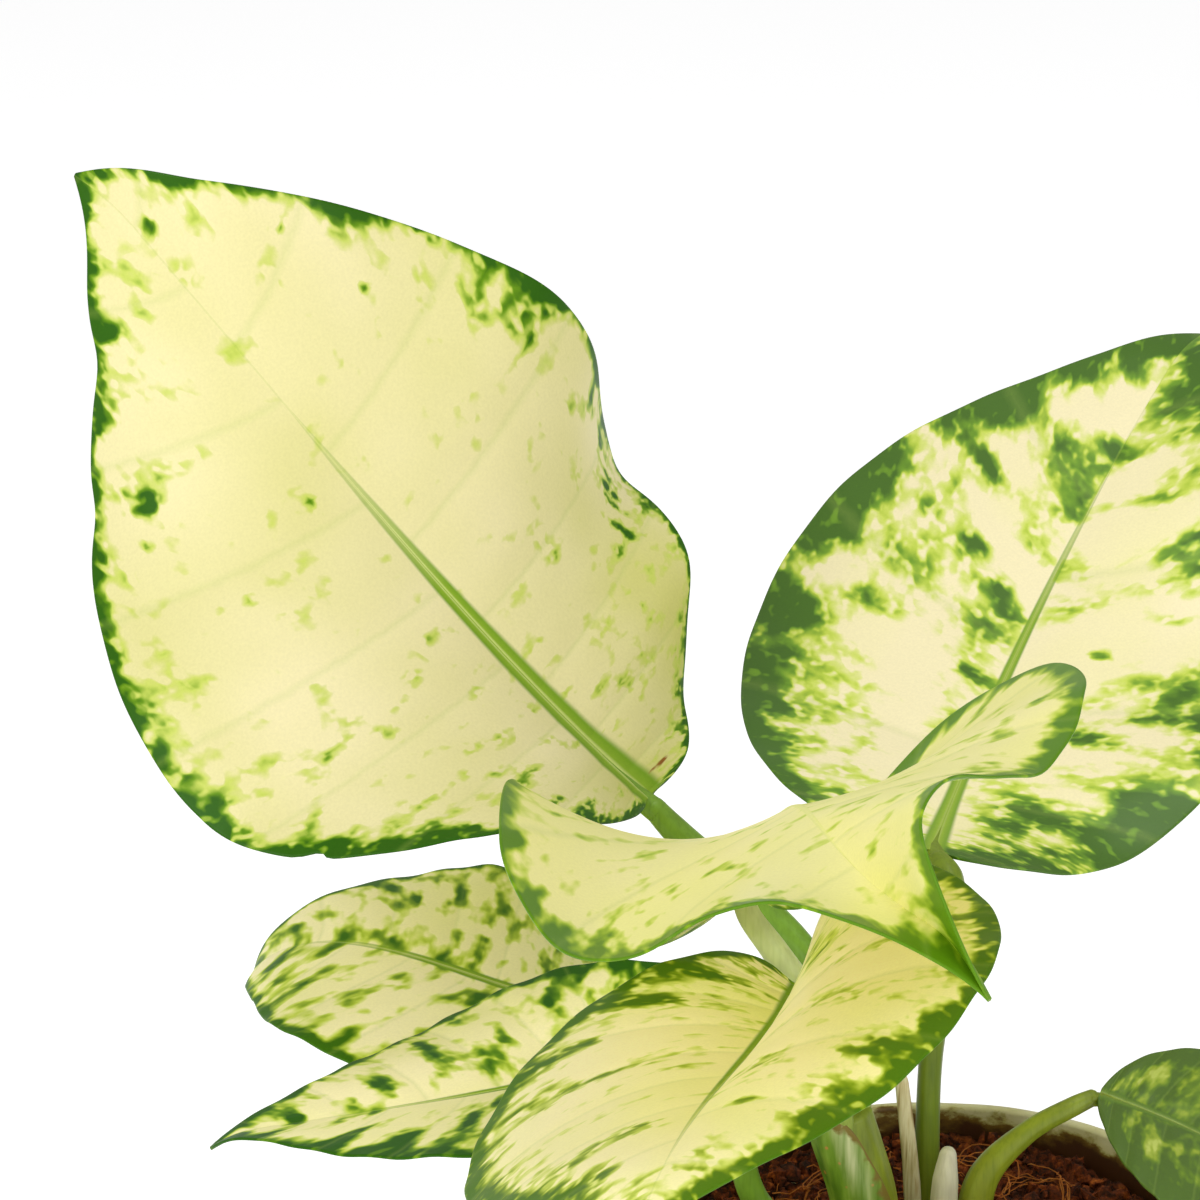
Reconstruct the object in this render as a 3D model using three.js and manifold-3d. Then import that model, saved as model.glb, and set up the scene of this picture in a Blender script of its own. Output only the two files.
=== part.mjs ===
// Potted variegated chinese evergreen: seven broad leaves that rise from a low main shoot and three side
// stalks in a round nursery pot filled with coarse brown soil.
// Millimetres, +Z up. The origin is the middle of the pot's underside, and the viewer stands at -Y.
import * as THREE from "three";
import Module from "manifold-3d";

// Pot
const POT_HEIGHT = 95;
const POT_FOOT_RADIUS = 37.5;
const POT_SHOULDER_RADIUS = 49.6;
const POT_SHOULDER_HEIGHT = 79;
const POT_RIM_RADIUS = 55;
const POT_LIP_WIDTH = 2.6;
const POT_WALL = 1.3;
const POT_FLOOR = 1.8;
const POT_SECTORS = 40;
const RIM_WAVE = 0.5;
const DRAIN_HOLES = 6;
const DRAIN_HOLE_RADIUS = 4;
const DRAIN_CIRCLE_RADIUS = 27;

// Soil, and the gap left between neighbouring pieces
const SOIL_LEVEL = 85;
const SOIL_RELIEF = 1.4;
const SOIL_RINGS = 8;
const GAP = 0.3;
const SLIVER = 0.01;

// Main shoot
const SHOOT_DEPTH = 0.95;
const SHEATH_THICKNESS = 1;

// Leaf blades
const BLADE_THICKNESS = 0.8;
const RIB_DEPTH = 2.2;
const RIB_HALF_WIDTH = 3.2;
const BLADE_COLUMNS = [0, 0.055, 0.2, 0.46, 0.74, 1];
const SPINE_STEPS = 60;
const ROW_SPREAD = 1.8;
const VEIN_SWEEP = 1.4;
const TIP_BEND_START = 0.88;

// Each blade is given by where it joins its stalk, its midrib length and its left and right half widths,
// seen looking from the stalk to the tip. Then come the place where it is widest, the reach of its base
// lobes and its fullness toward the tip and around the middle. Rows is how many strips it is split into.
// Heading, pitch, roll, rise and curl are degrees at the base, as a middle pull and at the tip.
// Heading 0 is +X and 90 is +Y. Rise lifts a half from the midrib and curl bends it on toward its edge.
// A wave is its height in mm, its count along the edge and its start in degrees.
const LEAVES = {
  // Tallest leaf, upper left, its face to the viewer
  a: {
    base: [-56.9, 25.7, 173], length: 171, halfWidths: [70.5, 69.1], neck: 2.6, rib: 1,
    widest: 0.34, lobe: 3.4, taper: 0.36, full: 0.42, rows: 24,
    heading: [164, 176, 143], pitch: [40, 57, 38], roll: [-4, -50, -82], tipBend: -16,
    riseLeft: [18, -2, 3], riseRight: [26, 4, 2],
    curlLeft: [-23, -47, -62], curlRight: [-46, -42, -23],
    waveLeft: [4.2, 2.81, 203], waveRight: [7.5, 3.27, 72],
  },
  // Broad leaf, right and back
  b: {
    base: [0.3, 24.1, 162.1], length: 174, halfWidths: [57.2, 55.4], neck: 2.6, rib: 1,
    widest: 0.4, lobe: 5.2, taper: 0.35, full: 0.58, rows: 20,
    heading: [75, 61, 57], pitch: [12, 36, 27], roll: [8, 5, 14], tipBend: -23,
    riseLeft: [9, 7, 8], riseRight: [5, 6, 5],
    curlLeft: [-24, -16, -6], curlRight: [-21, -12, -6],
    waveLeft: [1.6, 2.2, 307], waveRight: [4, 2.63, 68],
  },
  // Middle leaf that arches forward, its tip folded and pointing down
  c: {
    base: [-38.6, -2, 164.8], length: 179, halfWidths: [50, 59], neck: 2.6, rib: 0.9,
    widest: 0.58, lobe: 19, taper: 0.25, full: 0.78, rows: 26,
    heading: [-71, -108, -52], pitch: [52, -4, 3], roll: [-21, -24, 29], tipBend: -47,
    riseLeft: [-1, 17, 111], riseRight: [-58, -55, 33],
    curlLeft: [158, -37, -150], curlRight: [120, -5, 42],
    waveLeft: [10.2, 2.18, 94], waveRight: [11.4, 2.5, 48],
  },
  // Left leaf at the back
  d: {
    base: [-61.4, 33.9, 122.7], length: 96, halfWidths: [37.3, 41], neck: 2.6, rib: 0.8,
    widest: 0.4, lobe: 9.7, taper: 0.36, full: 0.54, rows: 16,
    heading: [179, 148, 143], pitch: [6, 36, -59], roll: [-3, -6, -25], tipBend: -42,
    riseLeft: [3, 3, -1], riseRight: [5, 5, 6],
    curlLeft: [-27, -16, -6], curlRight: [-18, -18, -16],
    waveLeft: [2.4, 2.28, 311], waveRight: [3, 2.37, 21],
  },
  // Left leaf in front of it, long and narrow
  e: {
    base: [-46.7, -13.9, 136.7], length: 98, halfWidths: [37.4, 39.5], neck: 2.6, rib: 0.8,
    widest: 0.39, lobe: 10.7, taper: 0.35, full: 0.56, rows: 16,
    heading: [195, 184, 176], pitch: [-11, -6, -11], roll: [-8, 3, 5], tipBend: -23,
    riseLeft: [14, 10, 7], riseRight: [16, 9, 6],
    curlLeft: [-17, -12, -7], curlRight: [-13, -17, -17],
    waveLeft: [1, 2.41, 339], waveRight: [0.6, 2.44, 86],
  },
  // Front leaf, heart-shaped at its base
  f: {
    base: [-27.2, -21.6, 151.4], length: 149, halfWidths: [57.5, 51.6], neck: 2.6, rib: 0.9,
    widest: 0.43, lobe: 14.5, taper: 0.34, full: 0.53, rows: 20,
    heading: [-106, -103, -100], pitch: [0, 23, -5], roll: [28, 20, 18], tipBend: -2,
    riseLeft: [55, 15, -5], riseRight: [46, 10, -9],
    curlLeft: [-54, -30, -4], curlRight: [-45, -36, -22],
    waveLeft: [2.9, 2.1, 28], waveRight: [1.1, 2.55, 90],
  },
  // Smallest leaf, low on the right
  g: {
    base: [33.1, 1.8, 119.1], length: 81, halfWidths: [29.3, 25.7], neck: 1.8, rib: 0.6,
    widest: 0.39, lobe: -0.9, taper: 0.35, full: 0.55, rows: 14,
    heading: [-17, -32, -43], pitch: [-12, -22, -30], roll: [14, 11, 5], tipBend: 0,
    riseLeft: [12, 8, 4], riseRight: [10, 6, 4],
    curlLeft: [-8, -10, -11], curlRight: [-18, -16, -12],
    waveLeft: [0.8, 2.48, 340], waveRight: [1, 2.51, 92],
  },
};

// Stalk centre lines with the radius at each point, from the foot up to the blade
const STALKS = {
  a: [
    [-14.9, 0.2, 112, 2.4], [-15.3, 3, 124, 2.8], [-19.5, 10.5, 136, 2.9], [-27.5, 19, 146, 2.9],
    [-51, 25, 166.5, 2.8], [-56.5, 25.8, 172.4, 2.3],
  ],
  b: [
    [-0.3, 10, 66, 2.6], [-0.2, 10, 90, 2.5], [0.2, 12, 124, 2.4], [4, 15, 150, 2.5],
    [3.6, 18.5, 159.2, 2.6], [0.6, 23.2, 161.8, 2.2],
  ],
  c: [
    [-21.7, -0.6, 112, 2.4], [-22.4, -1.4, 126, 2.7], [-25.5, -3, 141.5, 2.8], [-32, -3.6, 152.2, 2.7],
    [-37.2, -3, 159.8, 2.4], [-38.5, -2.1, 164.4, 2.1],
  ],
  d: [
    [-19.7, 3.3, 112, 2.2], [-24, 7, 117.5, 2.4], [-36, 20, 120.5, 2.4], [-50, 30.5, 121.8, 2.4],
    [-60.7, 33.9, 122.3, 1.9],
  ],
  e: [
    [-21, -2, 68, 2.9], [-26, -3, 86, 2.9], [-36, -5, 101, 2.7], [-38.8, -8, 116, 2.5],
    [-39.2, -11, 130, 2.4], [-42.4, -13, 135.8, 2.3], [-46.1, -13.8, 136.8, 2.1],
  ],
  f: [
    [-18, -3.8, 112, 2.2], [-19.5, -7.4, 126, 2.5], [-22.4, -13, 142, 2.5], [-26.2, -18.4, 150.4, 2.4],
    [-27.1, -20.9, 151.3, 2.2],
  ],
  g: [
    [7, -3, 68, 3.6], [8, -3, 88, 3.9], [10, -2.5, 103, 3.2], [18.6, -1.5, 112.5, 2.3], [28, 0, 117.6, 2],
    [32.7, 1.8, 119.1, 1.6],
  ],
};

// Colours seen in the plant
const CREAM = "#ece6b4";
const LIME = "#cfdf86";
const DEEP_GREEN = "#4f7a38";
const STALK_GREEN = "#7c9a3c";
const PALE_STALK = "#c3cf93";

const solids = await Module();
solids.setup();

// One closed surface of shared points and triangles as a solid.
function solidFrom(points, triangles) {
  const mesh = new solids.Mesh({
    numProp: 3,
    vertProperties: Float32Array.from(points.flat()),
    triVerts: Uint32Array.from(triangles.flat()),
  });
  return new solids.Manifold(mesh);
}

// The largest body of a solid as three.js geometry.
function geometryOf(solid) {
  const bodies = solid.decompose().sort((p, q) => q.volume() - p.volume());
  const mesh = bodies[0].getMesh();
  const geometry = new THREE.BufferGeometry();
  const flat = new Float32Array(mesh.numVert * 3);
  for (let i = 0; i < mesh.numVert; i++) {
    flat.set(mesh.vertProperties.subarray(i * mesh.numProp, i * mesh.numProp + 3), i * 3);
  }
  geometry.setAttribute("position", new THREE.BufferAttribute(flat, 3));
  geometry.setIndex(new THREE.BufferAttribute(mesh.triVerts, 1));
  geometry.computeVertexNormals();
  return geometry;
}

const part = new THREE.Group();
part.name = "potted_chinese_evergreen";

function addPiece(name, solid, colour, roughness) {
  const material = new THREE.MeshStandardMaterial({ color: colour, roughness, metalness: 0 });
  material.name = name;
  const mesh = new THREE.Mesh(geometryOf(solid), material);
  mesh.name = name;
  part.add(mesh);
}

// Rings of points joined into one closed skin: each ring has the same count, and both ends are fans.
function skinOfRings(rings, firstMiddle, lastMiddle) {
  const count = rings[0].length;
  const points = rings.flat();
  const triangles = [];
  for (let i = 0; i + 1 < rings.length; i++) {
    for (let j = 0; j < count; j++) {
      const a = i * count + j;
      const b = i * count + ((j + 1) % count);
      triangles.push([a, b, b + count], [a, b + count, a + count]);
    }
  }
  const first = points.push(firstMiddle) - 1;
  const last = points.push(lastMiddle) - 1;
  const top = (rings.length - 1) * count;
  for (let j = 0; j < count; j++) {
    const k = (j + 1) % count;
    triangles.push([first, k, j], [last, top + j, top + k]);
  }
  return solidFrom(points, triangles);
}

// A profile of [radius, height] points turned about +Z, from the lower middle out and up to the upper one.
function turned(profile, sectors, shape = (p) => p) {
  const rings = profile.map(([radius, height]) =>
    Array.from({ length: sectors }, (_, j) => {
      const angle = (2 * Math.PI * j) / sectors;
      return shape([radius * Math.cos(angle), radius * Math.sin(angle), height], angle);
    }),
  );
  const low = profile[0][1];
  const high = profile[profile.length - 1][1];
  return skinOfRings(rings, [0, 0, low], shape([0, 0, high], 0));
}

// The smooth line through the points of a run, and its radius at a share of its length.
function smoothLine(stations) {
  const points = stations.map(([x, y, z]) => new THREE.Vector3(x, y, z));
  return new THREE.CatmullRomCurve3(points, false, "centripetal");
}

function radiusAt(stations, share) {
  const place = share * (stations.length - 1);
  const low = Math.min(Math.floor(place), stations.length - 2);
  return THREE.MathUtils.lerp(stations[low][3], stations[low + 1][3], place - low);
}

// A run along a smooth line through points of [x, y, z, radius], flattened by a depth share.
// Growing it gives the room that a neighbour leaves round it.
function stalkSolid(stations, { depth = 1, sides = 10, steps = 12, grow = 0 } = {}) {
  const curve = smoothLine(stations);
  const frames = [];
  let side = new THREE.Vector3(1, 0, 0);
  for (let i = 0; i <= steps; i++) {
    const share = i / steps;
    const along = curve.getTangent(share).normalize();
    side = side.clone().addScaledVector(along, -side.dot(along)).normalize();
    const radius = radiusAt(stations, share);
    frames.push({ middle: curve.getPoint(share), along, side, back: along.clone().cross(side), radius });
  }
  frames[0].middle.addScaledVector(frames[0].along, -grow);
  frames[steps].middle.addScaledVector(frames[steps].along, grow);
  const rings = frames.map((f) =>
    Array.from({ length: sides }, (_, j) => {
      const angle = (2 * Math.PI * j) / sides;
      const point = f.middle.clone().addScaledVector(f.side, (f.radius + grow) * Math.cos(angle));
      return point.addScaledVector(f.back, (f.radius * depth + grow) * Math.sin(angle)).toArray();
    }),
  );
  return skinOfRings(rings, frames[0].middle.toArray(), frames[steps].middle.toArray());
}

// Two like grids of points as the faces of a thin sheet, split alike and closed by a narrow edge all round.
function sheetSolid(upper, lower, rows, columns) {
  const points = [...upper, ...lower];
  const under = upper.length;
  const triangles = [];
  for (let i = 0; i < rows; i++) {
    for (let j = 0; j + 1 < columns; j++) {
      const a = i * columns + j;
      const b = a + 1;
      const c = a + columns;
      const d = c + 1;
      const mirrored = j >= (columns - 1) / 2;
      const split = mirrored ? [[a, c, b], [b, c, d]] : [[a, d, b], [a, c, d]];
      for (const [p, q, r] of split) {
        triangles.push([p, q, r], [under + p, under + r, under + q]);
      }
    }
  }
  const border = [];
  for (let j = 0; j < columns; j++) border.push(j);
  for (let i = 1; i <= rows; i++) border.push(i * columns + columns - 1);
  for (let j = columns - 2; j >= 0; j--) border.push(rows * columns + j);
  for (let i = rows - 1; i >= 1; i--) border.push(i * columns);
  for (let k = 0; k < border.length; k++) {
    const p = border[k];
    const q = border[(k + 1) % border.length];
    triangles.push([p, q, under + q], [p, under + q, under + p]);
  }
  return solidFrom(points, triangles);
}

// A torn wrap round part of a run: thin, a gap away from it, and as tall at each side as its reach says.
// Its extra gives the room that a neighbour leaves round it.
function wrapSolid(stations, { from, to, thickness, reach, extra = 0, rows = 8, columns = 15 }) {
  const curve = smoothLine(stations);
  const upper = [];
  const lower = [];
  for (let i = 0; i <= rows; i++) {
    for (let j = 0; j < columns; j++) {
      const turn = j / (columns - 1);
      const share = (i / rows) * (reach(turn) + 0.02 * extra);
      const middle = curve.getPoint(share);
      const angle = THREE.MathUtils.degToRad(THREE.MathUtils.lerp(from, to, turn));
      const inner = radiusAt(stations, share) + 2 * GAP - extra;
      const across = new THREE.Vector3(Math.cos(angle), 0, 0).multiplyScalar(inner);
      const deep = inner * SHOOT_DEPTH + 0.2 * GAP;
      const back = new THREE.Vector3(0, deep * Math.sin(angle), 0);
      const outward = new THREE.Vector3(Math.cos(angle), Math.sin(angle), 0);
      outward.multiplyScalar(thickness + 2 * extra);
      const point = middle.clone().add(across).add(back);
      lower.push(point.toArray());
      upper.push(point.clone().add(outward).toArray());
    }
  }
  return sheetSolid(lower, upper, rows, columns);
}

// Leaf surface
function blend([base, middle, tip], t) {
  return (1 - t) ** 2 * base + 2 * t * (1 - t) * middle + t * t * tip;
}

function bezier(p0, p1, p2, p3, t) {
  return (1 - t) ** 3 * p0 + 3 * t * (1 - t) ** 2 * p1 + 3 * t * t * (1 - t) * p2 + t ** 3 * p3;
}

function pitchAt(leaf, t) {
  const bend = THREE.MathUtils.smoothstep(t, TIP_BEND_START, 1);
  return THREE.MathUtils.degToRad(blend(leaf.pitch, t) + leaf.tipBend * bend);
}

// The flat outline of one half: u runs along the edge from the stalk to the tip.
function edgeOf(leaf, halfWidth, u) {
  const widest = leaf.widest * leaf.length;
  if (u < 0.5) {
    const t = u * 2;
    const back = widest - leaf.full * (widest + leaf.lobe);
    return [
      bezier(0, -1.9 * leaf.lobe, back, widest, t),
      bezier(leaf.neck, 0.42 * halfWidth, halfWidth, halfWidth, t),
    ];
  }
  const t = u * 2 - 1;
  const ahead = widest + leaf.full * (leaf.length - widest) * 0.8;
  return [
    bezier(widest, ahead, leaf.length * 0.82, leaf.length, t),
    bezier(halfWidth, halfWidth, leaf.taper * halfWidth, 0.5, t),
  ];
}

// The midrib as points at even steps from base to tip.
function spineOf(leaf) {
  const spine = [new THREE.Vector3(...leaf.base)];
  for (let i = 0; i < SPINE_STEPS; i++) {
    const t = (i + 0.5) / SPINE_STEPS;
    const heading = THREE.MathUtils.degToRad(blend(leaf.heading, t));
    const pitch = pitchAt(leaf, t);
    const step = new THREE.Vector3(
      Math.cos(pitch) * Math.cos(heading),
      Math.cos(pitch) * Math.sin(heading),
      Math.sin(pitch),
    );
    spine.push(spine[i].clone().addScaledVector(step, leaf.length / SPINE_STEPS));
  }
  return spine;
}

// A point of the blade's middle surface: u along, s from -1 (right edge) over 0 (midrib) to 1 (left edge).
function bladePoint(leaf, spine, u, s) {
  const left = s >= 0;
  const halfWidth = leaf.halfWidths[left ? 0 : 1];
  const [edgeX, edgeY] = edgeOf(leaf, halfWidth, u);
  const ribX = leaf.length * u ** ROW_SPREAD;
  const x = ribX + (edgeX - ribX) * Math.abs(s) ** VEIN_SWEEP;
  const y = edgeY * Math.abs(s);
  const t = THREE.MathUtils.clamp(x / leaf.length, 0, 1);
  const place = Math.min(t * SPINE_STEPS, SPINE_STEPS - 1e-9);
  const low = Math.floor(place);
  const point = spine[low].clone().lerp(spine[low + 1], place - low);
  const heading = THREE.MathUtils.degToRad(blend(leaf.heading, t));
  const pitch = pitchAt(leaf, t);
  const roll = THREE.MathUtils.degToRad(blend(leaf.roll, t));
  const along = new THREE.Vector3(
    Math.cos(pitch) * Math.cos(heading),
    Math.cos(pitch) * Math.sin(heading),
    Math.sin(pitch),
  );
  const level = new THREE.Vector3(-Math.sin(heading), Math.cos(heading), 0);
  const upright = along.clone().cross(level);
  const across = level.clone().multiplyScalar(Math.cos(roll)).addScaledVector(upright, Math.sin(roll));
  const up = upright.multiplyScalar(Math.cos(roll)).addScaledVector(level, -Math.sin(roll));
  const rise = THREE.MathUtils.degToRad(blend(left ? leaf.riseLeft : leaf.riseRight, t));
  const curl = THREE.MathUtils.degToRad(blend(left ? leaf.curlLeft : leaf.curlRight, t));
  const bend = Math.abs(curl) < 1e-4 ? 1e-4 / halfWidth : curl / halfWidth;
  const out = (Math.sin(rise + bend * y) - Math.sin(rise)) / bend;
  const [height, count, start] = left ? leaf.waveLeft : leaf.waveRight;
  const phase = 2 * Math.PI * count * u + THREE.MathUtils.degToRad(start);
  const wave = height * s * s * Math.sin(phase) * Math.sin(Math.PI * u);
  const lift = (Math.cos(rise) - Math.cos(rise + bend * y)) / bend + wave;
  point.addScaledVector(along, Math.min(x, 0));
  point.addScaledVector(across, left ? out : -out);
  return point.addScaledVector(up, lift);
}

// The blade as a solid: an upper and a lower face split alike, closed by a narrow edge all round.
// The midrib stands out below, deep at the stalk and fading to the tip.
function bladeSolid(leaf, extra = 0) {
  const spine = spineOf(leaf);
  const shares = [...BLADE_COLUMNS.slice(1).reverse().map((s) => -s), ...BLADE_COLUMNS];
  const columns = shares.length;
  const start = spine[1].clone().sub(spine[0]).normalize();
  const finish = spine[SPINE_STEPS].clone().sub(spine[SPINE_STEPS - 1]).normalize();
  const small = 1e-3;
  const upper = [];
  const lower = [];
  for (let i = 0; i <= leaf.rows; i++) {
    const u = i / leaf.rows;
    for (const s of shares) {
      const s0 = Math.max(s - small, -1);
      const s1 = Math.min(s + small, 1);
      const near = THREE.MathUtils.clamp(u, 0.04, 0.97);
      const here = bladePoint(leaf, spine, near, s);
      const acrossStep = bladePoint(leaf, spine, near, s1)
        .sub(bladePoint(leaf, spine, near, s0))
        .normalize();
      const alongStep = bladePoint(leaf, spine, near + small, s).sub(here).normalize();
      const normal = alongStep.clone().cross(acrossStep).normalize();
      const point = bladePoint(leaf, spine, u, s);
      if (i === 0) point.addScaledVector(start, -extra);
      if (i === leaf.rows) point.addScaledVector(finish, extra);
      const outward = i === 0 ? acrossStep : normal.clone().cross(alongStep);
      if (Math.abs(s) === 1) point.addScaledVector(outward, s * extra);
      const [, edgeY] = edgeOf(leaf, leaf.halfWidths[s >= 0 ? 0 : 1], u);
      const fade = 1 - 0.8 * u;
      const off = Math.min(Math.abs(s * edgeY) / (RIB_HALF_WIDTH * fade), 1);
      const rib = RIB_DEPTH * leaf.rib * fade ** 1.5 * (1 - off * off);
      upper.push(point.clone().addScaledVector(normal, BLADE_THICKNESS / 2 + extra).toArray());
      lower.push(point.clone().addScaledVector(normal, -BLADE_THICKNESS / 2 - rib - extra).toArray());
    }
  }
  return sheetSolid(upper, lower, leaf.rows, columns);
}

// Pot: a thin wall with a flat floor, stepping out to a band under a rounded lip that waves a little
const rimWave = ([x, y, z], angle) => {
  const share = THREE.MathUtils.smoothstep(z, SOIL_LEVEL, POT_HEIGHT);
  const out = 1 + (share * RIM_WAVE * Math.sin(2 * angle + 0.6)) / POT_RIM_RADIUS;
  return [x * out, y * out, z + share * 0.6 * RIM_WAVE * Math.sin(3 * angle - 0.5)];
};
const innerShoulder = POT_SHOULDER_RADIUS - POT_WALL;
const bandRadius = POT_RIM_RADIUS - 1.2;
const lipInner = POT_RIM_RADIUS - POT_LIP_WIDTH;
const potProfile = [
  [POT_FOOT_RADIUS * 0.5, 0],
  [POT_FOOT_RADIUS - 1, 0],
  [POT_FOOT_RADIUS, 1],
  [POT_SHOULDER_RADIUS, POT_SHOULDER_HEIGHT],
  [bandRadius - 1, POT_SHOULDER_HEIGHT + 1.4],
  [bandRadius, POT_HEIGHT - 5],
  [POT_RIM_RADIUS - 0.2, POT_HEIGHT - 4.2],
  [POT_RIM_RADIUS, POT_HEIGHT - 1],
  [POT_RIM_RADIUS - 0.7, POT_HEIGHT],
  [lipInner + 0.7, POT_HEIGHT],
  [lipInner, POT_HEIGHT - 0.8],
  [bandRadius - 1 - POT_WALL, POT_SHOULDER_HEIGHT + 2.2],
  [innerShoulder, POT_SHOULDER_HEIGHT + 0.6],
  [POT_FOOT_RADIUS - POT_WALL, POT_FLOOR],
  [POT_FOOT_RADIUS * 0.5, POT_FLOOR],
];
const drainHoles = Array.from({ length: DRAIN_HOLES }, (_, i) => {
  const angle = (2 * Math.PI * i) / DRAIN_HOLES;
  const hole = turned([[DRAIN_HOLE_RADIUS, -1], [DRAIN_HOLE_RADIUS, POT_FLOOR + 1]], 12);
  return hole.translate([DRAIN_CIRCLE_RADIUS * Math.cos(angle), DRAIN_CIRCLE_RADIUS * Math.sin(angle), 0]);
});
const pot = turned(potProfile, POT_SECTORS, rimWave).subtract(solids.Manifold.union(drainHoles));

// Low main shoot: the wrapped stalk feet that four of the leaves rise from, set in the soil
const SHOOT = [
  [-10.5, 0, 64, 5.2], [-11, 0, 84, 5.7], [-13, 0, 98, 6], [-16.5, 0, 110, 6.2], [-18.3, 0, 116.5, 6],
];
const shoot = (grow) => stalkSolid(SHOOT, { depth: SHOOT_DEPTH, sides: 16, steps: 8, grow });

// Old sheath wrapped round the shoot's front and left, torn away on the right where its edge has dried
const SHEATH_LINE = [...SHOOT.slice(0, 4), [-20.4, 0, 124, 6]];
const sheathReach = (turn) =>
  0.79 +
  0.19 * THREE.MathUtils.clamp((turn - 0.3) / 0.25, 0, 1) -
  0.5 * turn ** 6 +
  0.02 * Math.sin(17 * turn);
const SHEATH = { from: 118, to: 318, thickness: SHEATH_THICKNESS, reach: sheathReach };
const sheath = wrapSolid(SHEATH_LINE, SHEATH);

// Blades, and the room that a stalk leaves round them
const blades = {};
const bladeRoom = {};
for (const [key, leaf] of Object.entries(LEAVES)) {
  blades[key] = bladeSolid(leaf);
  bladeRoom[key] = bladeSolid(leaf, GAP);
}

// Stalks: each gives way to the main shoot, to its own blade and to the stalks before it
const stalks = {};
const stalkRoom = [shoot(GAP), wrapSolid(SHEATH_LINE, { ...SHEATH, extra: GAP })];
for (const [key, stations] of Object.entries(STALKS)) {
  stalks[key] = stalkSolid(stations, { depth: 0.9 })
    .subtract(solids.Manifold.union(stalkRoom))
    .subtract(bladeRoom[key])
    .simplify(SLIVER);
  stalkRoom.push(stalkSolid(stations, { depth: 0.9, grow: GAP }));
}

// Dry pale strip of an old sheath, the white sprout and the cut stub, each standing in the soil
const STRIP = [[-2.8, 4.6, 76, 1.7], [-3.6, 5, 98, 1.7], [-6.2, 5.4, 122, 1.3]];
const SPROUT = [[1.6, -5.5, 74, 2.4], [1.9, -5.6, 93, 3], [2.3, -5.6, 104, 2.6], [2.8, -5.6, 111, 1.5]];
const STUB = [[-26.6, 31.6, 76, 2], [-27.6, 32.1, 86.4, 2]];
const strip = stalkSolid(STRIP, { depth: 0.3, sides: 8, steps: 8 });
const sprout = stalkSolid(SPROUT, { sides: 10, steps: 8 }).subtract(solids.Manifold.union(stalkRoom));
const stub = stalkSolid(STUB, { depth: 0.75, sides: 8, steps: 2 });

// Soil: fills the pot to a lumpy top and has a plain hole round everything that stands in it
const lump = ([x, y]) =>
  SOIL_RELIEF *
  (0.5 * Math.sin(0.31 * x + 1.3) * Math.cos(0.27 * y) +
    0.35 * Math.sin(0.53 * x - 0.44 * y) +
    0.3 * Math.cos(0.21 * x + 0.71 * y + 0.8));
const soilEdge = bandRadius - 1 - POT_WALL;
const soilProfile = [
  [POT_FOOT_RADIUS * 0.5, POT_FLOOR + GAP],
  [POT_FOOT_RADIUS - POT_WALL - GAP, POT_FLOOR + GAP],
  [innerShoulder - GAP, POT_SHOULDER_HEIGHT + 0.9],
  [soilEdge - GAP, POT_SHOULDER_HEIGHT + 2.5],
];
for (let i = 0; i < SOIL_RINGS; i++) {
  soilProfile.push([(soilEdge - GAP) * (1 - i / SOIL_RINGS), SOIL_LEVEL]);
}
const lumpyTop = (point) =>
  point[2] < SOIL_LEVEL ? point : [point[0], point[1], SOIL_LEVEL + lump(point)];
const standing = [
  shoot(3 * GAP + SHEATH_THICKNESS),
  ...["b", "e", "g"].map((key) => stalkSolid(STALKS[key], { depth: 0.9, grow: GAP })),
  stalkSolid(STRIP, { depth: 0.3, sides: 8, steps: 8, grow: GAP }),
  stalkSolid(SPROUT, { sides: 10, steps: 8, grow: GAP }),
  stalkSolid(STUB, { depth: 0.75, sides: 8, steps: 2, grow: GAP }),
];
const soil = turned(soilProfile, POT_SECTORS, lumpyTop).subtract(solids.Manifold.union(standing));

addPiece("pot", pot, "#cdc49b", 0.55);
addPiece("soil", soil, "#4a2412", 0.95);
addPiece("main_shoot", shoot(0), "#6f9636", 0.5);
addPiece("torn_sheath", sheath, "#7fa03f", 0.5);
const bladeColours = { a: CREAM, b: CREAM, c: LIME, d: CREAM, e: CREAM, f: CREAM, g: DEEP_GREEN };
for (const key of Object.keys(LEAVES)) {
  addPiece(`blade_${key}`, blades[key], bladeColours[key], 0.4);
  addPiece(`stalk_${key}`, stalks[key], key === "c" ? PALE_STALK : STALK_GREEN, 0.5);
}
addPiece("dry_strip", strip, "#c9bd8c", 0.8);
addPiece("white_sprout", sprout, "#d9d3bd", 0.6);
addPiece("cut_stub", stub, "#c8c684", 0.7);

export default part;
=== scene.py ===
"""Looks of the potted chinese evergreen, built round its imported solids. Metres, +Z up, the viewer at -Y."""

import math

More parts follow.
